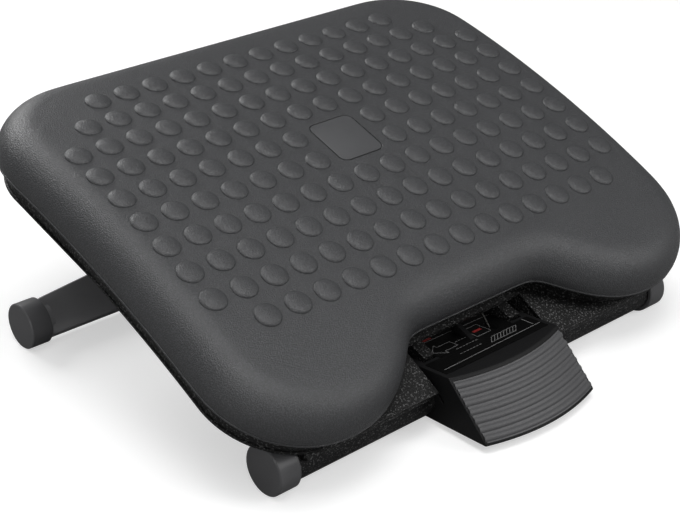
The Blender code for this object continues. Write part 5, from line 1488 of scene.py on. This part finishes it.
class FOOTREST_OT_badge(bpy.types.Operator):
    """Build the badge plate"""
    bl_idname = "footrest.badge"
    bl_label = "Badge plate"

    def execute(self, context):
        build_badge()
        return {"FINISHED"}


class FOOTREST_OT_tray(bpy.types.Operator):
    """Build the tray under the platform"""
    bl_idname = "footrest.tray"
    bl_label = "Under tray"

    def execute(self, context):
        build_tray()
        return {"FINISHED"}


class FOOTREST_OT_front_bar(bpy.types.Operator):
    """Build the front bar and its caps"""
    bl_idname = "footrest.front_bar"
    bl_label = "Front bar"

    def execute(self, context):
        build_front_bar()
        return {"FINISHED"}


class FOOTREST_OT_rear_leg(bpy.types.Operator):
    """Build the folding rear leg"""
    bl_idname = "footrest.rear_leg"
    bl_label = "Rear leg"

    def execute(self, context):
        build_rear_leg()
        return {"FINISHED"}


class FOOTREST_OT_hinge(bpy.types.Operator):
    """Build the leg's hinge pin, bushes and clips"""
    bl_idname = "footrest.hinge"
    bl_label = "Hinge"

    def execute(self, context):
        build_hinge()
        return {"FINISHED"}


class FOOTREST_OT_screws(bpy.types.Operator):
    """Put in the screws"""
    bl_idname = "footrest.screws"
    bl_label = "Screws"

    def execute(self, context):
        build_screws()
        return {"FINISHED"}


class FOOTREST_OT_pedal(bpy.types.Operator):
    """Build the pedal's moulding"""
    bl_idname = "footrest.pedal"
    bl_label = "Pedal"

    def execute(self, context):
        build_pedal()
        return {"FINISHED"}


class FOOTREST_OT_tread(bpy.types.Operator):
    """Build the pedal's ribbed tread"""
    bl_idname = "footrest.tread"
    bl_label = "Tread"

    def execute(self, context):
        sizes = context.scene.footrest_sizes
        build_tread(sizes.rib_count, sizes.rib_height)
        return {"FINISHED"}


class FOOTREST_OT_label(bpy.types.Operator):
    """Build the label on the pedal"""
    bl_idname = "footrest.label"
    bl_label = "Label"

    def execute(self, context):
        build_label()
        return {"FINISHED"}


class FOOTREST_OT_wires(bpy.types.Operator):
    """Build the release rod and the springs"""
    bl_idname = "footrest.wires"
    bl_label = "Rod and springs"

    def execute(self, context):
        build_rod()
        build_shoe_spring()
        build_return_spring()
        return {"FINISHED"}


class FOOTREST_OT_fittings(bpy.types.Operator):
    """Finish the CAD pieces that keep their shapes"""
    bl_idname = "footrest.fittings"
    bl_label = "Fittings"

    def execute(self, context):
        build_fittings()
        return {"FINISHED"}


class FOOTREST_OT_stage(bpy.types.Operator):
    """Set the floor, the light and the camera"""
    bl_idname = "footrest.stage"
    bl_label = "Stage"

    def execute(self, context):
        build_stage(context.scene.footrest_colours.floor)
        return {"FINISHED"}


OPERATORS = (FOOTREST_OT_stage, FOOTREST_OT_finishes, FOOTREST_OT_cover, FOOTREST_OT_bumps,
             FOOTREST_OT_badge, FOOTREST_OT_tray, FOOTREST_OT_front_bar, FOOTREST_OT_rear_leg,
             FOOTREST_OT_hinge, FOOTREST_OT_screws, FOOTREST_OT_pedal, FOOTREST_OT_tread,
             FOOTREST_OT_label, FOOTREST_OT_wires, FOOTREST_OT_fittings)


class FOOTREST_PT_panel(bpy.types.Panel):
    """Sizes, colours and pieces of the footrest"""
    bl_idname = "FOOTREST_PT_panel"
    bl_label = "Footrest"
    bl_space_type = "VIEW_3D"
    bl_region_type = "UI"
    bl_category = "Footrest"

    def draw(self, context):
        for group in (context.scene.footrest_sizes, context.scene.footrest_colours):
            for name in group.__annotations__:
                self.layout.prop(group, name)
        for operator in OPERATORS:
            self.layout.operator(operator.bl_idname)


CLASSES = (FootrestSizes, FootrestColours, *OPERATORS, FOOTREST_PT_panel)


def register():
    for item in CLASSES:
        bpy.utils.register_class(item)
    bpy.types.Scene.footrest_sizes = PointerProperty(type=FootrestSizes)
    bpy.types.Scene.footrest_colours = PointerProperty(type=FootrestColours)


def unregister():
    del bpy.types.Scene.footrest_colours
    del bpy.types.Scene.footrest_sizes
    for item in reversed(CLASSES):
        bpy.utils.unregister_class(item)


def main():
    register()
    for operator in OPERATORS:
        group, name = operator.bl_idname.split(".")
        getattr(getattr(bpy.ops, group), name)()


if __name__ == "__main__":
    main()
